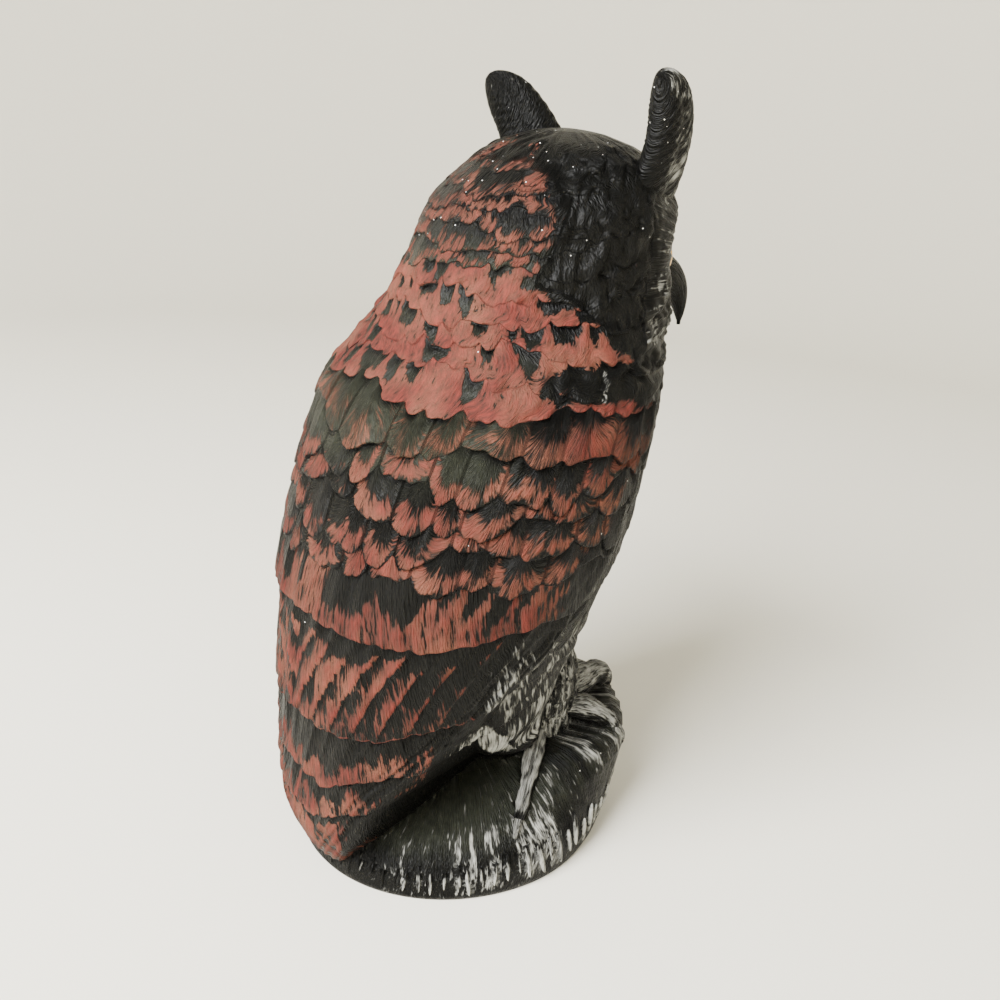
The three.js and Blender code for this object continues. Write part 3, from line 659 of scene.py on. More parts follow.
def coralCover(blade, rowIndex, degrees, level, heights, reach, relief):
    kinds = ofRows("kind", rowIndex)
    value = {key: ofRows(key, rowIndex).astype(float)
             for key in ("band", "teeth", "lip", "holes", "uneven", "load", "hairy")}
    under, over = blade["under"] / mm, blade["over"] / mm
    wide, fine = mottle(reach, heights, 16, 8, 11), mottle(reach, heights, 5, 6, 12)
    chance = randomAt(blade["feather"], rowIndex, 5)
    isCovert, isPrimary, isTail = kinds == "covert", kinds == "primary", kinds == "tail"
    isLong = isCovert | isPrimary | isTail
    isLast = rowIndex == len(rows)  # the end of the tail, below its last row

    # each feather is painted from its tip to a ragged edge; on the coverts and the tail flames rise from it
    leaning = reach - math.tan(math.radians(vane["barbLean"])) * heights * np.sign(reach)
    flame = np.maximum(0, softNoise(leaning / coralMarks["flameWidth"], rowIndex * 3.3, 13) * 1.7 - 0.7)
    comb = softNoise(reach / coralMarks["combWidth"], rowIndex * 2.3, 15)  # slits in the edges of the paint
    spikes = softNoise(reach / coralMarks["spikeWidth"], rowIndex * 4.1, 16) - 0.5
    flames = sum(rise * (kinds == kind) for kind, rise in coralMarks["flames"].items())
    band = value["band"] * (0.8 + 0.4 * chance) + value["uneven"] * (1.3 * wide + 0.9 * fine)
    band = band + flame * flames + coralMarks["tailEnd"] * isLast
    ragged = value["teeth"] * (1 + 0.8 * flame * isLong)
    lowEdge = value["lip"] + np.where(isLong, 0, 3.4 * comb - 1)
    painted = np.minimum((band + coralMarks["spikes"] * spikes - over) / ragged,
                         (over - lowEdge) / (0.5 * value["teeth"]))
    holes = value["holes"] * np.where(isLong, 1.0, blade["free"])
    holes = holes * (0.6 + 0.8 * blade["aboveChance"]) + fine * 3
    bridging = coralMarks["bridging"] * (1 - blade["free"])  # where a tip isn't free the paint runs over it
    painted = np.minimum(painted, (under - np.where(isLast, 7 + 4 * wide, holes) + bridging) / 2.2)
    cover = 0.5 + np.clip(painted, -1, value["load"])
    rim = sum(height * (kinds == kind) for kind, height in coralMarks["rims"].items())
    rimmed = (over < rim) & (under > 3) & (fine > -0.3)

    # isolated patches towards the middle of the back, joined ones on the shoulder
    side = np.abs(2 * blade["across"] - 1)
    apart = (kinds == "scapular") * (1 - smooth(degrees, 24, 46))
    cover = cover - apart * (smooth(side, 0.6, 0.95) * 0.8 + (chance < 0.2) * 0.8)

    # on the long wing feathers the paint sits along the raised edges, and thins out towards the front
    across = vanePlace(reach, heights)
    ridge = 1.3 * (across - 0.5) + 0.3 * bell(across - 0.9, 0.1)
    onVanes = isPrimary * 1.0 + isCovert * 0.35 * smooth(degrees, 30, 50)
    thinning = -0.1 - 0.16 * smooth(degrees, 10, 34) - 0.25 * smooth(degrees, 34, 60) - 0.8 * wide
    cover = cover + onVanes * ridge * smooth(over, 0, 12) + isPrimary * thinning
    cover = np.where(rimmed, np.maximum(cover, 0.95), cover)

    # the side and the end of the tail
    sideEdge = along(wingEdge, level, 1) - degrees
    atSide = isTail & (sideEdge > 0.2) & (sideEdge < 1.4) & (level > 17) & (level < 26)
    cover = np.where(atSide, np.maximum(cover, 0.85), cover) - 1.1 * isLast * smooth(degrees, 26, 36)
    faded = 0.25 * smooth(degrees, 34, 48) + 0.6 * (sideEdge < 2)
    cover = cover - isTail * faded * ~atSide * (rowIndex < len(rows))

    # a bright shoulder, bare patches under the mantle, and muted, hairy paint around them
    shoulder = bell(degrees - 84, 13) * bell(level - 66.5, 3.6)
    cover = cover + 0.6 * shoulder
    cover = cover - 0.5 * (kinds == "fringe") * smooth(wide, -0.02, 0.16) * (1 - smooth(degrees, 50, 64))
    muted = smooth(degrees, 80, 98) * (level < 60) * (level > 40)
    muted = muted + 0.6 * bell(degrees - 67, 9) * bell(level - 63, 3)
    muted = muted + 0.5 * smooth(degrees, 40, 60) * (kinds == "scapular")
    cover = cover - 0.25 * muted + relief * 0.5 - 0.9 * bell(degrees - 70, 12) * bell(level - 72.6, 1.3)
    hairy = value["hairy"] - shoulder + 0.6 * muted + 0.3 * bell(level - 62, 2.5) * (degrees < 60)
    hairy = np.clip(hairy, 0, 1)
    ripple = mottle(reach, heights, 9, 6, 3)
    inside = smooth(along(coralLimit, level, 1) + ripple * 20 - degrees, -5, 6)
    return cover * inside - 0.4 * (1 - inside), hairy


def silverCover(blade, degrees, level, heights, reach, far, wing, onFace):
    ripple = mottle(reach, heights, 8, 9, 23)
    strokes = mottle(reach * np.sign(reach) - 0.5 * heights, heights, 3.4, 16, 24)
    silverIn = smooth(degrees - along(silverLimit, level, 1) + ripple * 16, -6, 9)
    raised = smooth(blade["under"], 1.5 * mm, 8 * mm)
    silver = (-0.14 + 0.36 * raised + 0.7 * strokes) * silverIn
    # a groove parts the thigh from the bright patch below it
    cut = level - thighGroove["paintLevel"] + thighGroove["slope"] * (degrees - thighGroove["degrees"])
    patch = (0.8 + 1.1 * strokes) * smooth(degrees, 57, 63) * (1 - smooth(degrees, 84, 88))
    patch = patch * (1 - smooth(cut, -0.6, 0.2)) * (1 - wing)
    thigh = smooth(degrees, 74, 82) * smooth(cut, 0.2, 1.0) * (1 - smooth(level, 34, 44))
    thigh = thigh * (0.42 + 1.0 * strokes)
    silver = np.maximum(np.maximum(silver, patch), thigh)
    bottom = 18 + 0.12 * np.maximum(0, 66 - degrees)
    silver = silver * smooth(level, bottom, bottom + 1.2) * (1 - smooth(level, 93, 98))
    silver = silver - 0.5 * (1 - smooth(silver, 0.0, 0.12))
    disc = face["discRadius"]
    specks = mottle(reach, heights, 2.2, 4, 25)
    onDisc = 0.05 + 0.3 * smooth(far, disc * 0.5, disc) + 1.35 * specks
    onDisc = onDisc - 0.4 * bell(far - disc * 1.15, 3 * mm)
    return mix(silver, onDisc, onFace * (level < 93))


def bodyPaint(blade, degrees, level, heights, angle, stride, reach, wing, onFace):
    rowIndex = np.clip(blade["row"], 0, len(rows)).astype(int)
    kinds = ofRows("kind", rowIndex)
    isLong = np.isin(kinds, ("covert", "primary", "tail"))
    merged = np.isin(kinds, ("mantle", "nape", "crown"))
    girth = stride.sum(1, keepdims=True)
    offShaft = (blade["across"] - 0.5) * (girth / ofRows("feathers", rowIndex).astype(float))  # metres

    # barbs fan out from the root of a short feather, run straight on a merged one and lean on a long one
    root = (blade["under"] + blade["over"]) * 0.9 + 7 * mm
    fanAcross = np.where(merged, reach, np.arctan2(offShaft, root - blade["over"]) * root)
    straight = heights * np.where(kinds == "mantle", mantleLumps["barbLength"], 1.0)
    fanAlong = np.where(merged, straight, np.hypot(offShaft, root - blade["over"]))
    lean = np.clip(angle / math.radians(25), -1, 1) * math.radians(vane["barbLean"])
    tall = heights - 110 * mm
    across = np.where(isLong, reach * np.cos(lean) + tall * np.sin(lean), fanAcross)
    alongBarb = np.where(isLong, 0.6 * (tall * np.cos(lean) - reach * np.sin(lean)), fanAlong)
    seed = np.where(isLong | merged, rowIndex, blade["feather"] * 1.37 + rowIndex * 5.71)

    # on the face the barbs run out from each eye
    _, _, far, around = facePlace(angle, heights)
    across = np.where(onFace > 0.5, around * face["discRadius"], across)
    alongBarb = np.where(onFace > 0.5, far, alongBarb)
    seed = np.where(onFace > 0.5, np.sign(angle) * 3, seed)

    # the sides and top of the head: small crumpled feathers
    coralEdge = along(coralLimit, level, 1)
    crumpled = smooth(level, 76, 80) * smooth(degrees, coralEdge - 4, coralEdge + 8)
    crumpled = np.clip(crumpled + smooth(level, 94, 98), 0, 1) * (1 - onFace)
    slanted = heights + 0.35 * reach
    bumps = softNoise(reach / wrinkles["width"], slanted / wrinkles["length"], 21) - 0.5
    bumps = 0.8 * bumps + 0.6 * mottle(reach, slanted, 11, 9, 22)
    creases = np.abs(mottle(reach, slanted, 7, 6, 33))
    across = np.where(crumpled > 0.5, reach * 0.9 + 0.4 * heights, across)
    alongBarb = np.where(crumpled > 0.5, (heights * 0.9 - 0.4 * reach) * 1.8, alongBarb)
    across = across * np.where(kinds == "fringe", 2.2, 1.0)  # finer hairs

    # relief on the blades: soft barbs, the mantle's lumps, long vanes, wrinkles, the face's rays, the grooves
    blunt = smooth(blade["under"], 0, 3 * mm)
    lowBarb = mottle(across, alongBarb, 4.2, 15, seed)
    soft = (kinds == "mantle") * (1 - crumpled)
    calm = (1 - onFace) * blunt * (1 - crumpled) * (1 - mantleLumps["smoother"] * soft)
    relief = lowBarb * np.where(isLong, 1.5, 1.0) * mm * calm
    lumpy = softNoise(reach / (7 * mm), heights / (6 * mm), 41)
    lumpy = lumpy + 0.6 * softNoise(reach / (3 * mm), heights / (4 * mm), 42)
    relief = relief + (lumpy - 0.8) * mantleLumps["height"] * soft * blunt
    vaneAcross = vanePlace(reach, heights)
    onVanes = ((kinds == "primary") * 1.0 + (kinds == "covert") * 0.5 * smooth(degrees, 30, 50)) * blunt
    relief = relief + vane["height"] * onVanes * (vaneAcross - 0.5) * smooth(vaneAcross, 1.0, 0.86)
    relief = relief + (bumps * 2 - 0.7 * smooth(0.12 - creases, 0, 0.1)) * wrinkles["height"] * crumpled
    rays = np.cos(around * face["barbs"]) * face["barbHeight"]
    relief = relief + rays * onFace * smooth(far, 14 * mm, 18 * mm) * (1 - smooth(far, 38 * mm, 46 * mm))
    fromEdge = (along(wingEdge, level, 1) - degrees) * girth / 360
    grooves = 0.5 + 0.5 * np.cos(fromEdge / wingGrooves["spacing"] * 2 * math.pi)
    nearEdge = smooth(fromEdge, 1 * mm, 4 * mm) * (1 - smooth(fromEdge, 16 * mm, 26 * mm))
    nearEdge = nearEdge * (level < wingGrooves["topLevel"]) * wing
    relief = relief - wingGrooves["depth"] * (1 - grooves) * nearEdge
    offGroove = level - thighGroove["level"] + thighGroove["slope"] * (degrees - thighGroove["degrees"])
    groove = bell(offGroove, thighGroove["halfWidth"]) * smooth(degrees, 63, 67)
    groove = groove * (1 - smooth(degrees, 85, 88))
    relief = relief - thighGroove["depth"] * groove * (level < 27)

    coral, hairy = coralCover(blade, rowIndex, degrees, level, heights, reach, lowBarb)
    coral = coral - 0.5 * (1 - grooves) * nearEdge - 1.5 * (1 - wing) * (level < 32)
    silver = silverCover(blade, degrees, level, heights, reach, far, wing, onFace) - 1.2 * groove
    low, high = parting["levels"]
    onParting = (np.abs(degrees - parting["degrees"]) < parting["halfWidth"]) & (level > low) & (level < high)
    silver = np.where(onParting, parting["silver"], silver)
    hairy = np.maximum(hairy, 0.2 * (silver > 0.1))
    # painted shade: a deeper black just under a free feather tip, where its shadow falls
    recessShade = (1 - smooth(blade["under"], 1.0 * mm, 4.5 * mm)) * blade["free"] * (1 - onFace) * (1 - crumpled)
    bare = smooth(level, 58, 64) * (1 - smooth(level, 82, 90)) * (1 - smooth(degrees, 46, 66))
    bare = bare * (1 - crumpled) * (1 - 0.55 * soft)
    return {
        "barb": [across, alongBarb, seed], "paint": [coral, silver, hairy],
        "ground": [recessShade, bare, np.maximum(crumpled, 1.1 * soft)], "relief": relief, "crumpled": crumpled,
    }


# the rock

rockShape = {
    "width": 164 * mm, "depth": 188 * mm, "frontHeight": 71 * mm, "backHeight": 36 * mm, "forward": 8 * mm,
    "columns": 250, "furrowWidth": 3.6 * mm, "furrowDepth": 3.0 * mm, "lumps": 1.6 * mm, "sway": 8 * mm,
    "ribs": 84, "ribLength": 26 * mm, "ribWidth": 4.0 * mm, "ribHeight": 1.8 * mm, "ribFoot": 4 * mm,
}
# height in shares of the rock's height there, spread in shares of its half width; it falls steeply in front
backProfile = np.array([
    [0, 0.985], [0.06, 1], [0.3, 0.985], [0.5, 0.93], [0.68, 0.82], [0.84, 0.62], [0.95, 0.36], [1, 0],
])
frontProfile = np.array([
    [0, 0.945], [0.06, 0.965], [0.4, 1.01], [0.72, 1.05], [0.86, 1.03], [0.94, 0.93], [0.975, 0.72], [1, 0],
])


def rockHeight(y):
    share = (y + rockShape["forward"]) / rockShape["depth"] + 0.5
    return mix(rockShape["frontHeight"], rockShape["backHeight"], smooth(share, 0.1, 0.9))


def rockSpread(rise, around):
    back, front = (np.interp(rise, profile[:, 0], profile[:, 1]) for profile in (backProfile, frontProfile))
    return mix(back, front, smooth(-np.cos(around), -0.1, 0.7))


def rockTop(x, y):
    right, ahead = x / (rockShape["width"] / 2), (y + rockShape["forward"]) / (rockShape["depth"] / 2)
    rises = np.linspace(1, 0.06, 100)
    spreads = rockSpread(rises, math.atan2(right, ahead))
    return np.interp(math.hypot(right, ahead), spreads, rises) * rockHeight(np.float64(y))


def rockSkin(rise, around, lift=0.0):
    spread = rockSpread(rise, around)
    x = (rockShape["width"] / 2 * spread + lift) * np.sin(around)
    y = (rockShape["depth"] / 2 * spread + lift) * np.cos(around) - rockShape["forward"]
    return np.stack([x, y, rise * rockHeight(y)], -1)


def fromBehind(x, y):  # degrees from straight back
    return np.degrees(np.abs(np.arctan2(x, y)))


def sculptRock():
    columns = rockShape["columns"]
    turn = 2 * math.pi * (np.arange(columns) + 0.5) / columns
    steps = np.array([0, 0.02, 0.05, 0.08, *np.arange(0.12, 0.96, 0.04), 0.98, 0.992])
    rise, around = np.meshgrid(steps, turn, indexing="ij")
    arc = around * (rockShape["width"] + rockShape["depth"]) / 4
    facing = fromBehind(np.sin(around), np.cos(around))
    sway = arc + (softNoise(arc / (30 * mm), rise * 3, 4) - 0.5) * rockShape["sway"]
    ridges = softNoise(sway / rockShape["furrowWidth"], rise * 2, 9)
    slanted = softNoise((arc + rise * 60 * mm) / (5 * mm), rise * 2, 6)
    lumps = softNoise(arc / (24 * mm), rise * 5, 2) - 0.5
    low = smooth(rise, 0.06, 0.14) * (1 - smooth(rise, 0.62, 0.8))
    ahead = smooth(facing, 88, 118)
    belowTop = 1 - smooth(rise, 0.9, 0.97)
    ridged = np.maximum(low * (0.35 + 0.65 * ahead), ahead * belowTop * smooth(rise, 0.06, 0.1))
    upper = smooth(rise, 0.45, 0.7)
    lift = (ridges - 0.5) * rockShape["furrowDepth"] * ridged
    lift = lift + (lumps + (slanted - 0.5) * (1 - ahead)) * rockShape["lumps"] * upper
    strokes = smooth(slanted, 0.4, 0.8) * smooth(facing, 66, 80) * (1 - ahead) * smooth(rise, 0.5, 0.66)
    silver = ahead * ridged * (0.05 + 0.85 * smooth(ridges, 0.35, 0.75))
    silver = np.maximum(silver, 0.52 * strokes * belowTop)
    silver = np.maximum(silver, 0.75 * low * smooth(facing, 28, 52) * smooth(ridges, 0.3, 0.75))
    # painted shade: a deeper black down in the furrows between the ridges
    recessShade, bare = ridged * (1 - smooth(ridges, 0.2, 0.5)), 0.9 * upper * (1 - 0.6 * ahead)
    skin = rockSkin(rise, around, lift * (1 - smooth(rise, 0.94, 1)))
    middle = -rockShape["forward"]
    return shell("rock", skin, np.array([0, middle, 0]), np.array([0, middle, rockHeight(middle)]), {
        "barb": [sway, rise * rockHeight(0) * 1.2, 91], "paint": [-1, silver, 0.1], "ground": [recessShade, bare],
    })


# ridges: Geometry Nodes set one spindle on each of a few places

def ridgeTree():
    tree = bpy.data.node_groups.new("ridgeRow", "GeometryNodeTree")
    for name, kind in (("Geometry", "Geometry"), ("Length", "Float"), ("Width", "Float"), ("Height", "Float"),
                       ("Unevenness", "Float"), ("Seed", "Int"), ("Material", "Material")):
        tree.interface.new_socket(name, in_out="INPUT", socket_type="NodeSocket" + kind)
    tree.interface.new_socket("Geometry", in_out="OUTPUT", socket_type="NodeSocketGeometry")
    given = node(tree, "NodeGroupInput").outputs
    lengthwise, outward, share = (
        node(tree, "GeometryNodeInputNamedAttribute", {"data_type": kind, "Name": name})
        for name, kind in (("lengthwise", "FLOAT_VECTOR"), ("outward", "FLOAT_VECTOR"), ("share", "FLOAT")))
    turned = node(tree, "FunctionNodeAxesToRotation", {"primary_axis": "Z", "secondary_axis": "X"},
                  {"Primary Axis": lengthwise, "Secondary Axis": outward})
    spindle = node(tree, "GeometryNodeMeshUVSphere", {"Segments": 8, "Rings": 6, "Radius": 1.0})
    half = node(tree, "ShaderNodeMath", {"operation": "MULTIPLY", 1: 0.5}, {0: given["Length"]})
    least = node(tree, "ShaderNodeMath", {"operation": "SUBTRACT", 0: 1.0}, {1: given["Unevenness"]})
    chance = node(tree, "FunctionNodeRandomValue", {"data_type": "FLOAT", 3: 1.0},
                  {2: least, "Seed": given["Seed"]})
    size = node(tree, "ShaderNodeCombineXYZ", links={"X": given["Height"], "Y": given["Width"], "Z": half})
    for factor in (share, chance):
        size = node(tree, "ShaderNodeVectorMath", {"operation": "SCALE"}, {0: size, 3: factor})
    placed = node(tree, "GeometryNodeInstanceOnPoints", links={
        "Points": given["Geometry"], "Instance": spindle, "Rotation": turned, "Scale": size})
    real = node(tree, "GeometryNodeRealizeInstances", links={"Geometry": placed})
    dressed = node(tree, "GeometryNodeSetMaterial", links={"Geometry": real, "Material": given["Material"]})
    node(tree, "NodeGroupOutput", links={"Geometry": dressed})
    return tree


def growRidges(name, places, lengthwise, outward, share, sizes, layersAt):  # sizes: the tree's inputs
    start = bpy.data.meshes.new(name)
    start.from_pydata(places.tolist(), [], [])
    for key, vectors in (("lengthwise", lengthwise), ("outward", outward)):
        layer = start.attributes.new(key, "FLOAT_VECTOR", "POINT")
        layer.data.foreach_set("vector", vectors.astype(np.float32).ravel())
    start.attributes.new("share", "FLOAT", "POINT").data.foreach_set("value", share.astype(np.float32))
    holder = addObject(name + "Places", start)
    grow = holder.modifiers.new("ridges", "NODES")
    grow.node_group = ridgeRow
    for item in ridgeRow.interface.items_tree:
        if item.in_out == "INPUT" and item.name in sizes:
            grow[item.identifier] = sizes[item.name]
    mesh = evaluatedMesh(holder)
    bpy.data.objects.remove(holder)
    for key in [layer.name for layer in mesh.attributes if layer.name in ("lengthwise", "outward", "share")]:
        mesh.attributes.remove(mesh.attributes[key])
    piece = addObject(name, mesh)
    paintLayers(piece, layersAt(readRows(mesh.vertices, "co").astype(float)))
    return piece


def rockRibs():  # ribs round the foot of the rock, like those of bark
    numbers = np.arange(rockShape["ribs"])
    around = 2 * math.pi * (numbers + 0.5 + 0.5 * (randomAt(numbers, 3, 1) - 0.5)) / len(numbers)
    length, foot = rockShape["ribLength"], rockShape["ribFoot"]
    tall = rockHeight(rockSkin(0.2, around)[:, 1])
    share = np.clip((0.5 * tall - foot) / length, 0.3, 1)  # they end where the rock's side leans back
    middle = (foot + (0.36 + 0.3 * randomAt(numbers, 5, 1)) * length * share) / tall
    lengthwise = rockSkin(middle + 0.06, around) - rockSkin(middle - 0.06, around)
    lengthwise = lengthwise / np.linalg.norm(lengthwise, axis=1, keepdims=True)
    outward = np.stack([np.sin(around), np.cos(around), 0 * around], -1)
    sideways = np.cross(outward, lengthwise)
    lengthwise = lengthwise + sideways * ((randomAt(numbers, 7, 1) - 0.35) * 0.34)[:, None]

    def layersAt(co):
        x, y, z = co.T
        back = y + rockShape["forward"]
        spread = np.hypot(x / rockShape["width"], back / rockShape["depth"]) * 2
        silver = smooth(fromBehind(x, back), 24, 50) * smooth(spread, 0.95, 1.0)
        return {"barb": [np.arctan2(x, y) * rockShape["width"] / 2, z, 3], "paint": [-1, silver]}

    sizes = {"Length": length, "Width": rockShape["ribWidth"] / 2, "Height": rockShape["ribHeight"],
             "Unevenness": 0.45, "Seed": bird["seed"], "Material": acrylic}
    return growRidges("ribs", rockSkin(middle, around), lengthwise, outward, share, sizes, layersAt)


# tufts, eyes and beak

tufts = {
    "rise": 29 * mm, "rootWidth": 44 * mm, "tipWidth": 20 * mm, "thickness": 15 * mm,
    "barbs": 13, "barbHeight": 0.55 * mm, "crease": 1.2 * mm, "roundedFrom": 0.72,
}


def sculptTuft(side):
    bend = tufts["roundedFrom"]
    root, tip = 89.4 * percent, crown + tufts["rise"] - 6.2 * mm
    spots = [(10.1, -16.7, root), (16.4, -17.8, mix(root, tip, bend)), (18.8, -10.6, tip)]
    curve = bezier(*[(side * x * percent, y * percent, z) for x, y, z in spots])

    def radius(t):
        end = np.where(t < bend, 1, np.sqrt(np.clip(1 - ((t - bend) / 0.285) ** 2, 0, 1)))
        width = mix(tufts["rootWidth"], tufts["tipWidth"], t) / 2
        return width * end, tufts["thickness"] / 2 * end + 0 * t

    def relief(t, turn):
        flat = np.abs(np.sin(turn)) ** 0.5
        barb = np.sin((t * tufts["barbs"] - np.cos(turn) * side * 1.7) * 2 * math.pi)
        crease = bell(np.cos(turn), 0.16) * flat
        end = 1 - smooth(t, 0.8, 0.98)
        return (barb * tufts["barbHeight"] * flat * (1 - crease) - tufts["crease"] * crease) * end

    def layers(t, turn):
        across = t * tufts["rise"] * 2.2 + np.cos(turn) * 9 * mm
        facing = -0.56 * np.cos(turn) - side * 0.75 * np.sin(turn)  # towards the front and outward
        silver = smooth(facing, 0.3, 0.62) * (0.32 + 0.9 * (softNoise(t * 26, turn * 3, 35) - 0.3)) - 0.1
        return {"barb": [across, np.cos(turn) * 18 * mm, 31], "paint": [-0.5, silver]}

    return limb("tuft", curve, 46, 40, radius, (side * 0.44, 0.9, 0), relief, layers)


def eyeMiddle(side):  # before the head is turned
    angle = np.array(math.pi - math.asin(eyeSide / faceRadius))
    front = sectionPoint(outerSections, angle, np.array(eyeHeight))[1]
    return np.array([side * eyeSide, front + face["eyeRadius"] + face["eyeSink"], eyeHeight])


def sculptEye(side):
    r, centre = face["eyeRadius"], eyeMiddle(side)
    turn, tilt = np.meshgrid(fullTurn(32), np.linspace(0.1, math.pi - 0.1, 22))
    x, z, y = r * np.sin(tilt) * np.cos(turn), r * np.sin(tilt) * np.sin(turn), -r * np.cos(tilt)
    rings = np.stack([x, y, z], -1) + centre
    return shell("eye", rings, centre - [0, r, 0], centre + [0, r, 0], {"paint": [-1, -1]})


beakShape = {"reach": 30 * mm, "width": 24 * mm}


def sculptBeak():
    out = -27.6 * percent
    reach = beakShape["reach"]
    curve = bezier((0, out + 1.6 * percent, 82 * percent), (0, out - reach * 0.9, 82.5 * percent),
                   (0, out - reach * 0.95, 74 * percent))

    def radius(t):
        taper = np.maximum(0.08, (1 - t) ** 0.7)
        return beakShape["width"] / 2 * taper, beakShape["width"] * 0.6 * taper

    def layers(t, turn):
        silver = 0.7 * smooth(np.sin(turn), 0.3, 0.9) - 0.1
        return {"barb": [turn * 8 * mm, t * 30 * mm, 17], "paint": [-1, silver]}

    return limb("beak", curve, 30, 32, radius, (1, 0, 0), None, layers)


# legs and toes

feet = {
    "hip": (8, 5.8, 37),  # side, forward, level
    "legRadius": 20 * mm, "toeRadius": 8 * mm, "clawLength": 14 * mm,
    "ankleSide": 9 * percent, "ankleForward": 10.6 * percent, "ankleHeight": 64 * mm, "ankleSink": 2 * mm,
    "plumes": (5, 15), "plumeLength": 15 * mm, "plumeWidth": 4.6 * mm, "plumeHeight": 1.6 * mm,
    "toes": [
        # degrees outward from straight ahead, girth at root and claw, then reach and height above the ankle
        (-10, (1.05, 1.0), [(0, 1.4), (5, 3.2), (10.6, 3.4), (14.2, 1.8)]),
        (37, (0.9, 0.75), [(0, 1), (4.4, 2.2), (8.2, 1.2), (10.6, -1)]),
        (141, (0.7, 0.4), [(0, 0.4), (4, -0.5), (8, -3.2), (14.6, -7.8)]),
    ],
}


def legPlace(side, t, turn, lift=0.0):
    top = np.array([side, -1, 1]) * feet["hip"] * percent
    ankle = rockTop(feet["ankleSide"], -feet["ankleForward"]) - feet["ankleSink"]
    end = np.array([side * feet["ankleSide"], -feet["ankleForward"], ankle])
    swell = 0.74 + 0.3 * np.sin(math.pi * np.minimum(1, t * 1.15) ** 1.2)
    across, ahead = feet["legRadius"] * swell + lift, feet["legRadius"] * 1.15 * swell + lift
    out = np.stack([across * np.cos(turn), ahead * np.sin(turn), 0 * turn], -1)
    return mix(top, end, np.asarray(t)[..., None]) + out


def sculptLeg(side):
    t, turn = np.meshgrid(np.linspace(0, 1, 41), fullTurn(60), indexing="ij")
    strand = softNoise(turn * 9, t * 6, 12) - 0.5
    rings = legPlace(side, t, turn, strand * 1.6 * mm)
    layers = {"barb": [turn * 22 * mm, t * 90 * mm, 57], "paint": [-1, 0.5 + strand, 0.5]}
    return shell("leg", rings, rings[0].mean(0), rings[-1].mean(0), layers)


def legPlumes(side):  # small feathers in staggered rows down the leg
    count, around = feet["plumes"]
    row, column = (grid.ravel() for grid in np.meshgrid(np.arange(count), np.arange(around), indexing="ij"))
    turn = 2 * math.pi * (column + row % 2 / 2 + 0.3 * randomAt(column, row, 2)) / around
    t = 0.3 + 0.145 * row + 0.03 * randomAt(column, row, 4)
    places = legPlace(side, t, turn, -0.2 * mm)
    lengthwise = legPlace(side, t + 0.02, turn) - legPlace(side, t - 0.02, turn)
    outward = np.stack([np.cos(turn), np.sin(turn), 0 * turn], -1)

    def layersAt(co):
        x, y, z = (co - np.array([side * 8.5 * percent, -9 * percent, 0])).T  # from the leg's middle
        return {"barb": [np.arctan2(y, x) * feet["legRadius"], z, 5], "paint": [-1, 0.66, 0.5]}

    sizes = {"Length": feet["plumeLength"], "Width": feet["plumeWidth"] / 2, "Height": feet["plumeHeight"],
             "Unevenness": 0.3, "Seed": bird["seed"] + 1, "Material": acrylic}
    return growRidges("plumes", places, lengthwise, outward, 0 * turn + 1, sizes, layersAt)


def sculptToes(side):
    made = []
    for number, (heading, girth, spots) in enumerate(feet["toes"]):
        turnOut = math.radians(heading)
        away = np.array([side * math.sin(turnOut), -math.cos(turnOut), 0])

        def spot(reach, above):
            point = np.array([side * feet["ankleSide"], -feet["ankleForward"], 0]) + away * reach * percent
            point[2] = feet["ankleHeight"] + above * percent
            return point

        def thick(t):
            knuckle = 1.1 - 0.2 * t + 0.12 * np.cos(t * 4 * math.pi)
            size = feet["toeRadius"] * mix(*girth, t) * knuckle * (1 - 0.3 * smooth(t, 0.86, 1))
            return size, size

        def sharp(t):
            size = feet["toeRadius"] * girth[1] * 0.68 * np.sqrt(np.clip(1.03 - t, 0, 1))
            return size, size

        def scutes(t, turn):
            fur = softNoise(turn * 5, t * 9 + 3 * np.cos(turn), 40 + number) - 0.5
            plates = 0.5 * mm * np.abs(np.sin(t * 11 * math.pi)) * smooth(np.cos(turn), -0.2, 0.5)
            return plates + fur * 1.4 * mm

        def layers(t, turn):
            silver = (0.1 + 0.75 * smooth(np.cos(turn), -0.4, 0.5)) * (1 - 0.9 * smooth(t, 0.9, 1))
            return {"barb": [turn * 9 * mm, t * 50 * mm, 70 + number], "paint": [-1, silver, 0.45]}

        path = throughPoints([spot(*one) for one in spots])
        reach, above = spots[-1]
        drop = feet["clawLength"] / percent
        bend = bezier(spot(reach - 1, above + 0.2), spot(reach + drop * 0.5, above - drop * 0.1),
                      spot(reach + drop * 0.36, above - drop * 0.85))
        made.append(limb("toe", path, 36, 26, thick, (0, 0, 1), scutes, layers))
        made.append(limb("claw", bend, 14, 16, sharp, (0, 0, 1), None, layers))
    return made


# join the shells into one closed moulding

def join(parts):
    whole = parts[0]
    for k, part in enumerate(parts[1:]):
        union = whole.modifiers.new(f"union{k}", "BOOLEAN")
        union.operation, union.solver, union.object = "UNION", "MANIFOLD", part
    mesh = evaluatedMesh(whole)
    for part in parts:
        bpy.data.objects.remove(part)
    return addObject("owl", mesh)


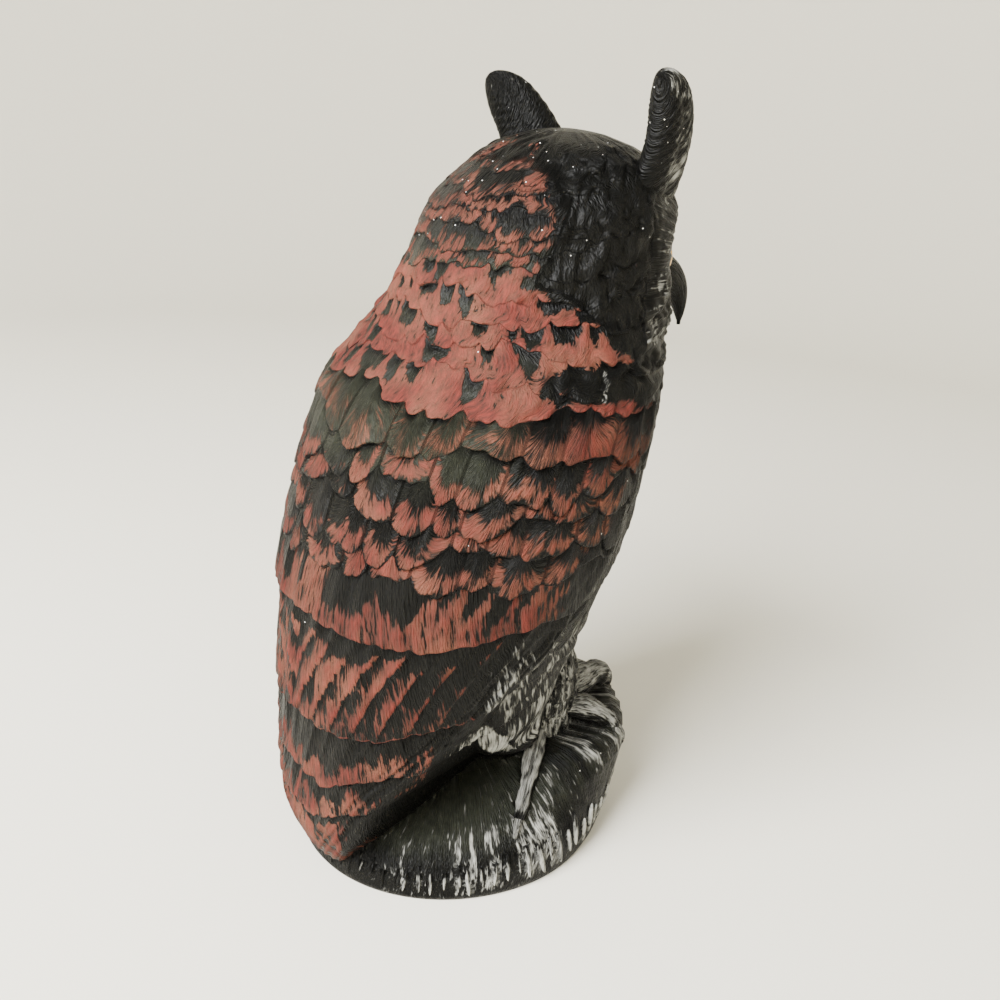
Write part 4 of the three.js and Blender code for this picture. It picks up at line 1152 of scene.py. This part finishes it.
def keepOutside(piece):  # drops flaps of two equal triangles, the pockets sealed inside, and loose crumbs
    work = bmesh.new()
    work.from_mesh(piece.data)
    bmesh.ops.triangulate(work, faces=work.faces)
    corners = {}
    for triangle in work.faces:
        corners.setdefault(frozenset(vert.index for vert in triangle.verts), []).append(triangle)
    flaps = [triangle for equal in corners.values() if len(equal) > 1 for triangle in equal]
    bmesh.ops.delete(work, geom=flaps, context="FACES")
    work.verts.index_update()
    seen, groups = set(), []
    for start in work.verts:
        if start.index in seen:
            continue
        stack, group = [start], []
        seen.add(start.index)
        while stack:
            here = stack.pop()
            group.append(here)
            for edge in here.link_edges:
                other = edge.other_vert(here)
                if other.index not in seen:
                    seen.add(other.index)
                    stack.append(other)
        groups.append(group)
    groups.sort(key=len)
    for group in groups[:-1]:
        bmesh.ops.delete(work, geom=group, context="VERTS")
    work.to_mesh(piece.data)
    work.free()


def fillLayers(piece):  # vertices made by the union take the paint of their neighbours
    mesh = piece.data
    known = readRows(mesh.attributes["known"].data, "value", 1)[:, 0] > 0.5
    ends = readRows(mesh.edges, "vertices", 2, np.int32)
    for key in layerNames:
        values, have = readRows(mesh.attributes[key].data, "vector"), known.copy()
        for a, b in ((0, 1), (1, 0)) * 6:
            lacking = ~have[ends[:, a]] & have[ends[:, b]]
            values[ends[lacking, a]] = values[ends[lacking, b]]
            have[ends[lacking, a]] = True
        mesh.attributes[key].data.foreach_set("vector", values.ravel())


def dressEyes(piece):
    piece.data.materials.clear()
    piece.data.materials.append(acrylic)
    for name, code in (("yellowEnamel", "c9962a"), ("blackEnamel", "0c0b0b")):  # gloss enamel on the eyes
        piece.data.materials.append(plainMaterial(name, code, 0.16))
    centres, normals = (readRows(piece.data.polygons, key) for key in ("center", "normal"))
    index = np.zeros(len(centres), np.int32)
    r = face["eyeRadius"]
    for side in (-1, 1):
        middle = turnHead(eyeMiddle(side))
        ahead = turnHead(eyeMiddle(side) - [0, r, 0]) - middle
        offset = centres - middle
        onEye = np.abs(np.linalg.norm(offset, axis=1) - r) < 0.35 * mm
        onEye &= (normals * offset).sum(1) > 0.95 * r
        facing = offset @ ahead / (r * r)
        for number, least in enumerate(face["enamels"]):
            index[onEye & (facing > least)] = number + 1
    piece.data.polygons.foreach_set("material_index", index)
    piece.data.polygons.foreach_set("use_smooth", np.ones(len(index), bool))


print("sculpting the shells")
ridgeRow = ridgeTree()
shells = [sculptBody(), sculptRock(), rockRibs(), sculptBeak()]
for side in (-1, 1):
    onHead = [sculptTuft(side), sculptEye(side)]
    shells += onHead + [sculptLeg(side), legPlumes(side), *sculptToes(side)]
for part in shells:
    if part.name.split(".")[0] in ("beak", "tuft", "eye"):
        turned = turnHead(readRows(part.data.vertices, "co").astype(float))
        part.data.vertices.foreach_set("co", turned.astype(np.float32).ravel())
print("joining", len(shells), "shells,", sum(len(part.data.polygons) for part in shells), "faces")
owl = join(shells)
keepOutside(owl)
fillLayers(owl)
print("owl has", len(owl.data.polygons), "triangles")

dressEyes(owl)
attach(owl, "root")
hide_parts("owl_decoy")


# studio

studio = {
    "floorRadius": 1.5, "wallRadius": 2.5, "wallHeight": 2.2, "sides": 96, "bends": 16,
    "paper": "ebe7d9", "world": "fbf7ef", "worldStrength": 0.36, "aimHeight": 0.2,
    "keyPower": 172, "keySize": 1.1, "keyPlace": (-0.25, 1.4, 1.35),
    "fillPower": 6, "fillSize": 1.4, "fillPlace": (-1.2, 0.2, 1.6),
}


def makeStudio():
    flat, sides = studio["floorRadius"], studio["sides"]
    bend = studio["wallRadius"] - flat
    profile = []
    for k in range(studio["bends"] + 1):
        turn = math.pi / 2 * k / studio["bends"]
        profile.append((flat + bend * math.sin(turn), bend * (1 - math.cos(turn))))
    profile.append((studio["wallRadius"], studio["wallHeight"]))
    turns = [2 * math.pi * j / sides for j in range(sides)]
    points, faces = [(0, 0, 0)], []
    for radius, height in profile:
        points += [(radius * math.cos(turn), radius * math.sin(turn), height) for turn in turns]
    for j in range(sides):
        following = (j + 1) % sides
        faces.append((0, 1 + j, 1 + following))
        for i in range(len(profile) - 1):
            low, high = 1 + i * sides, 1 + (i + 1) * sides
            faces.append((low + j, high + j, high + following, low + following))
    mesh = bpy.data.meshes.new("paperSweep")
    mesh.from_pydata(points, [], faces)
    mesh.polygons.foreach_set("use_smooth", [True] * len(mesh.polygons))
    mesh.materials.append(plainMaterial("paper", studio["paper"], 0.9))
    floor = addObject("paperSweep", mesh)

    world = bpy.data.worlds.new("softRoom")
    bpy.context.scene.world = world
    world.use_nodes = True
    background = world.node_tree.nodes["Background"].inputs
    background["Color"].default_value = linear(studio["world"])
    background["Strength"].default_value = studio["worldStrength"]
    for name in ("key", "fill"):
        lamp = bpy.data.lights.new(name, "AREA")
        lamp.energy, lamp.size = studio[name + "Power"], studio[name + "Size"]
        holder = addObject(name, lamp)
        holder.location = studio[name + "Place"]
        aim = Vector((0, 0, studio["aimHeight"])) - holder.location
        holder.rotation_euler = aim.to_track_quat("-Z", "Y").to_euler()


shot = {
    "azimuth": 231.6, "elevation": 21.1, "distance": 0.5037, "focal": 0.9612,  # focal length over image width
    "roll": 4.4, "targetSide": 17.6 * mm, "targetHeight": 193.2 * mm, "sensor": 36, "clipStart": 0.02,
}


def makeCamera():
    turn, tilt, roll = (math.radians(shot[key]) for key in ("azimuth", "elevation", "roll"))
    back = Vector((math.sin(turn) * math.cos(tilt), -math.cos(turn) * math.cos(tilt), math.sin(tilt)))
    target = Vector((math.cos(turn), math.sin(turn), 0)) * shot["targetSide"]
    target.z = shot["targetHeight"]
    right = (-back).cross(Vector((0, 0, 1))).normalized()
    up = right.cross(-back)
    level = right * math.cos(roll) + up * math.sin(roll)
    upright = up * math.cos(roll) - right * math.sin(roll)
    lens = bpy.data.cameras.new("camera")
    lens.sensor_width, lens.lens = shot["sensor"], shot["sensor"] * shot["focal"]
    lens.clip_start = shot["clipStart"]
    camera = addObject("camera", lens)
    camera.matrix_world = Matrix((level, upright, back)).transposed().to_4x4()
    camera.location = target + back * shot["distance"]
    bpy.context.scene.camera = camera


makeStudio()
makeCamera()
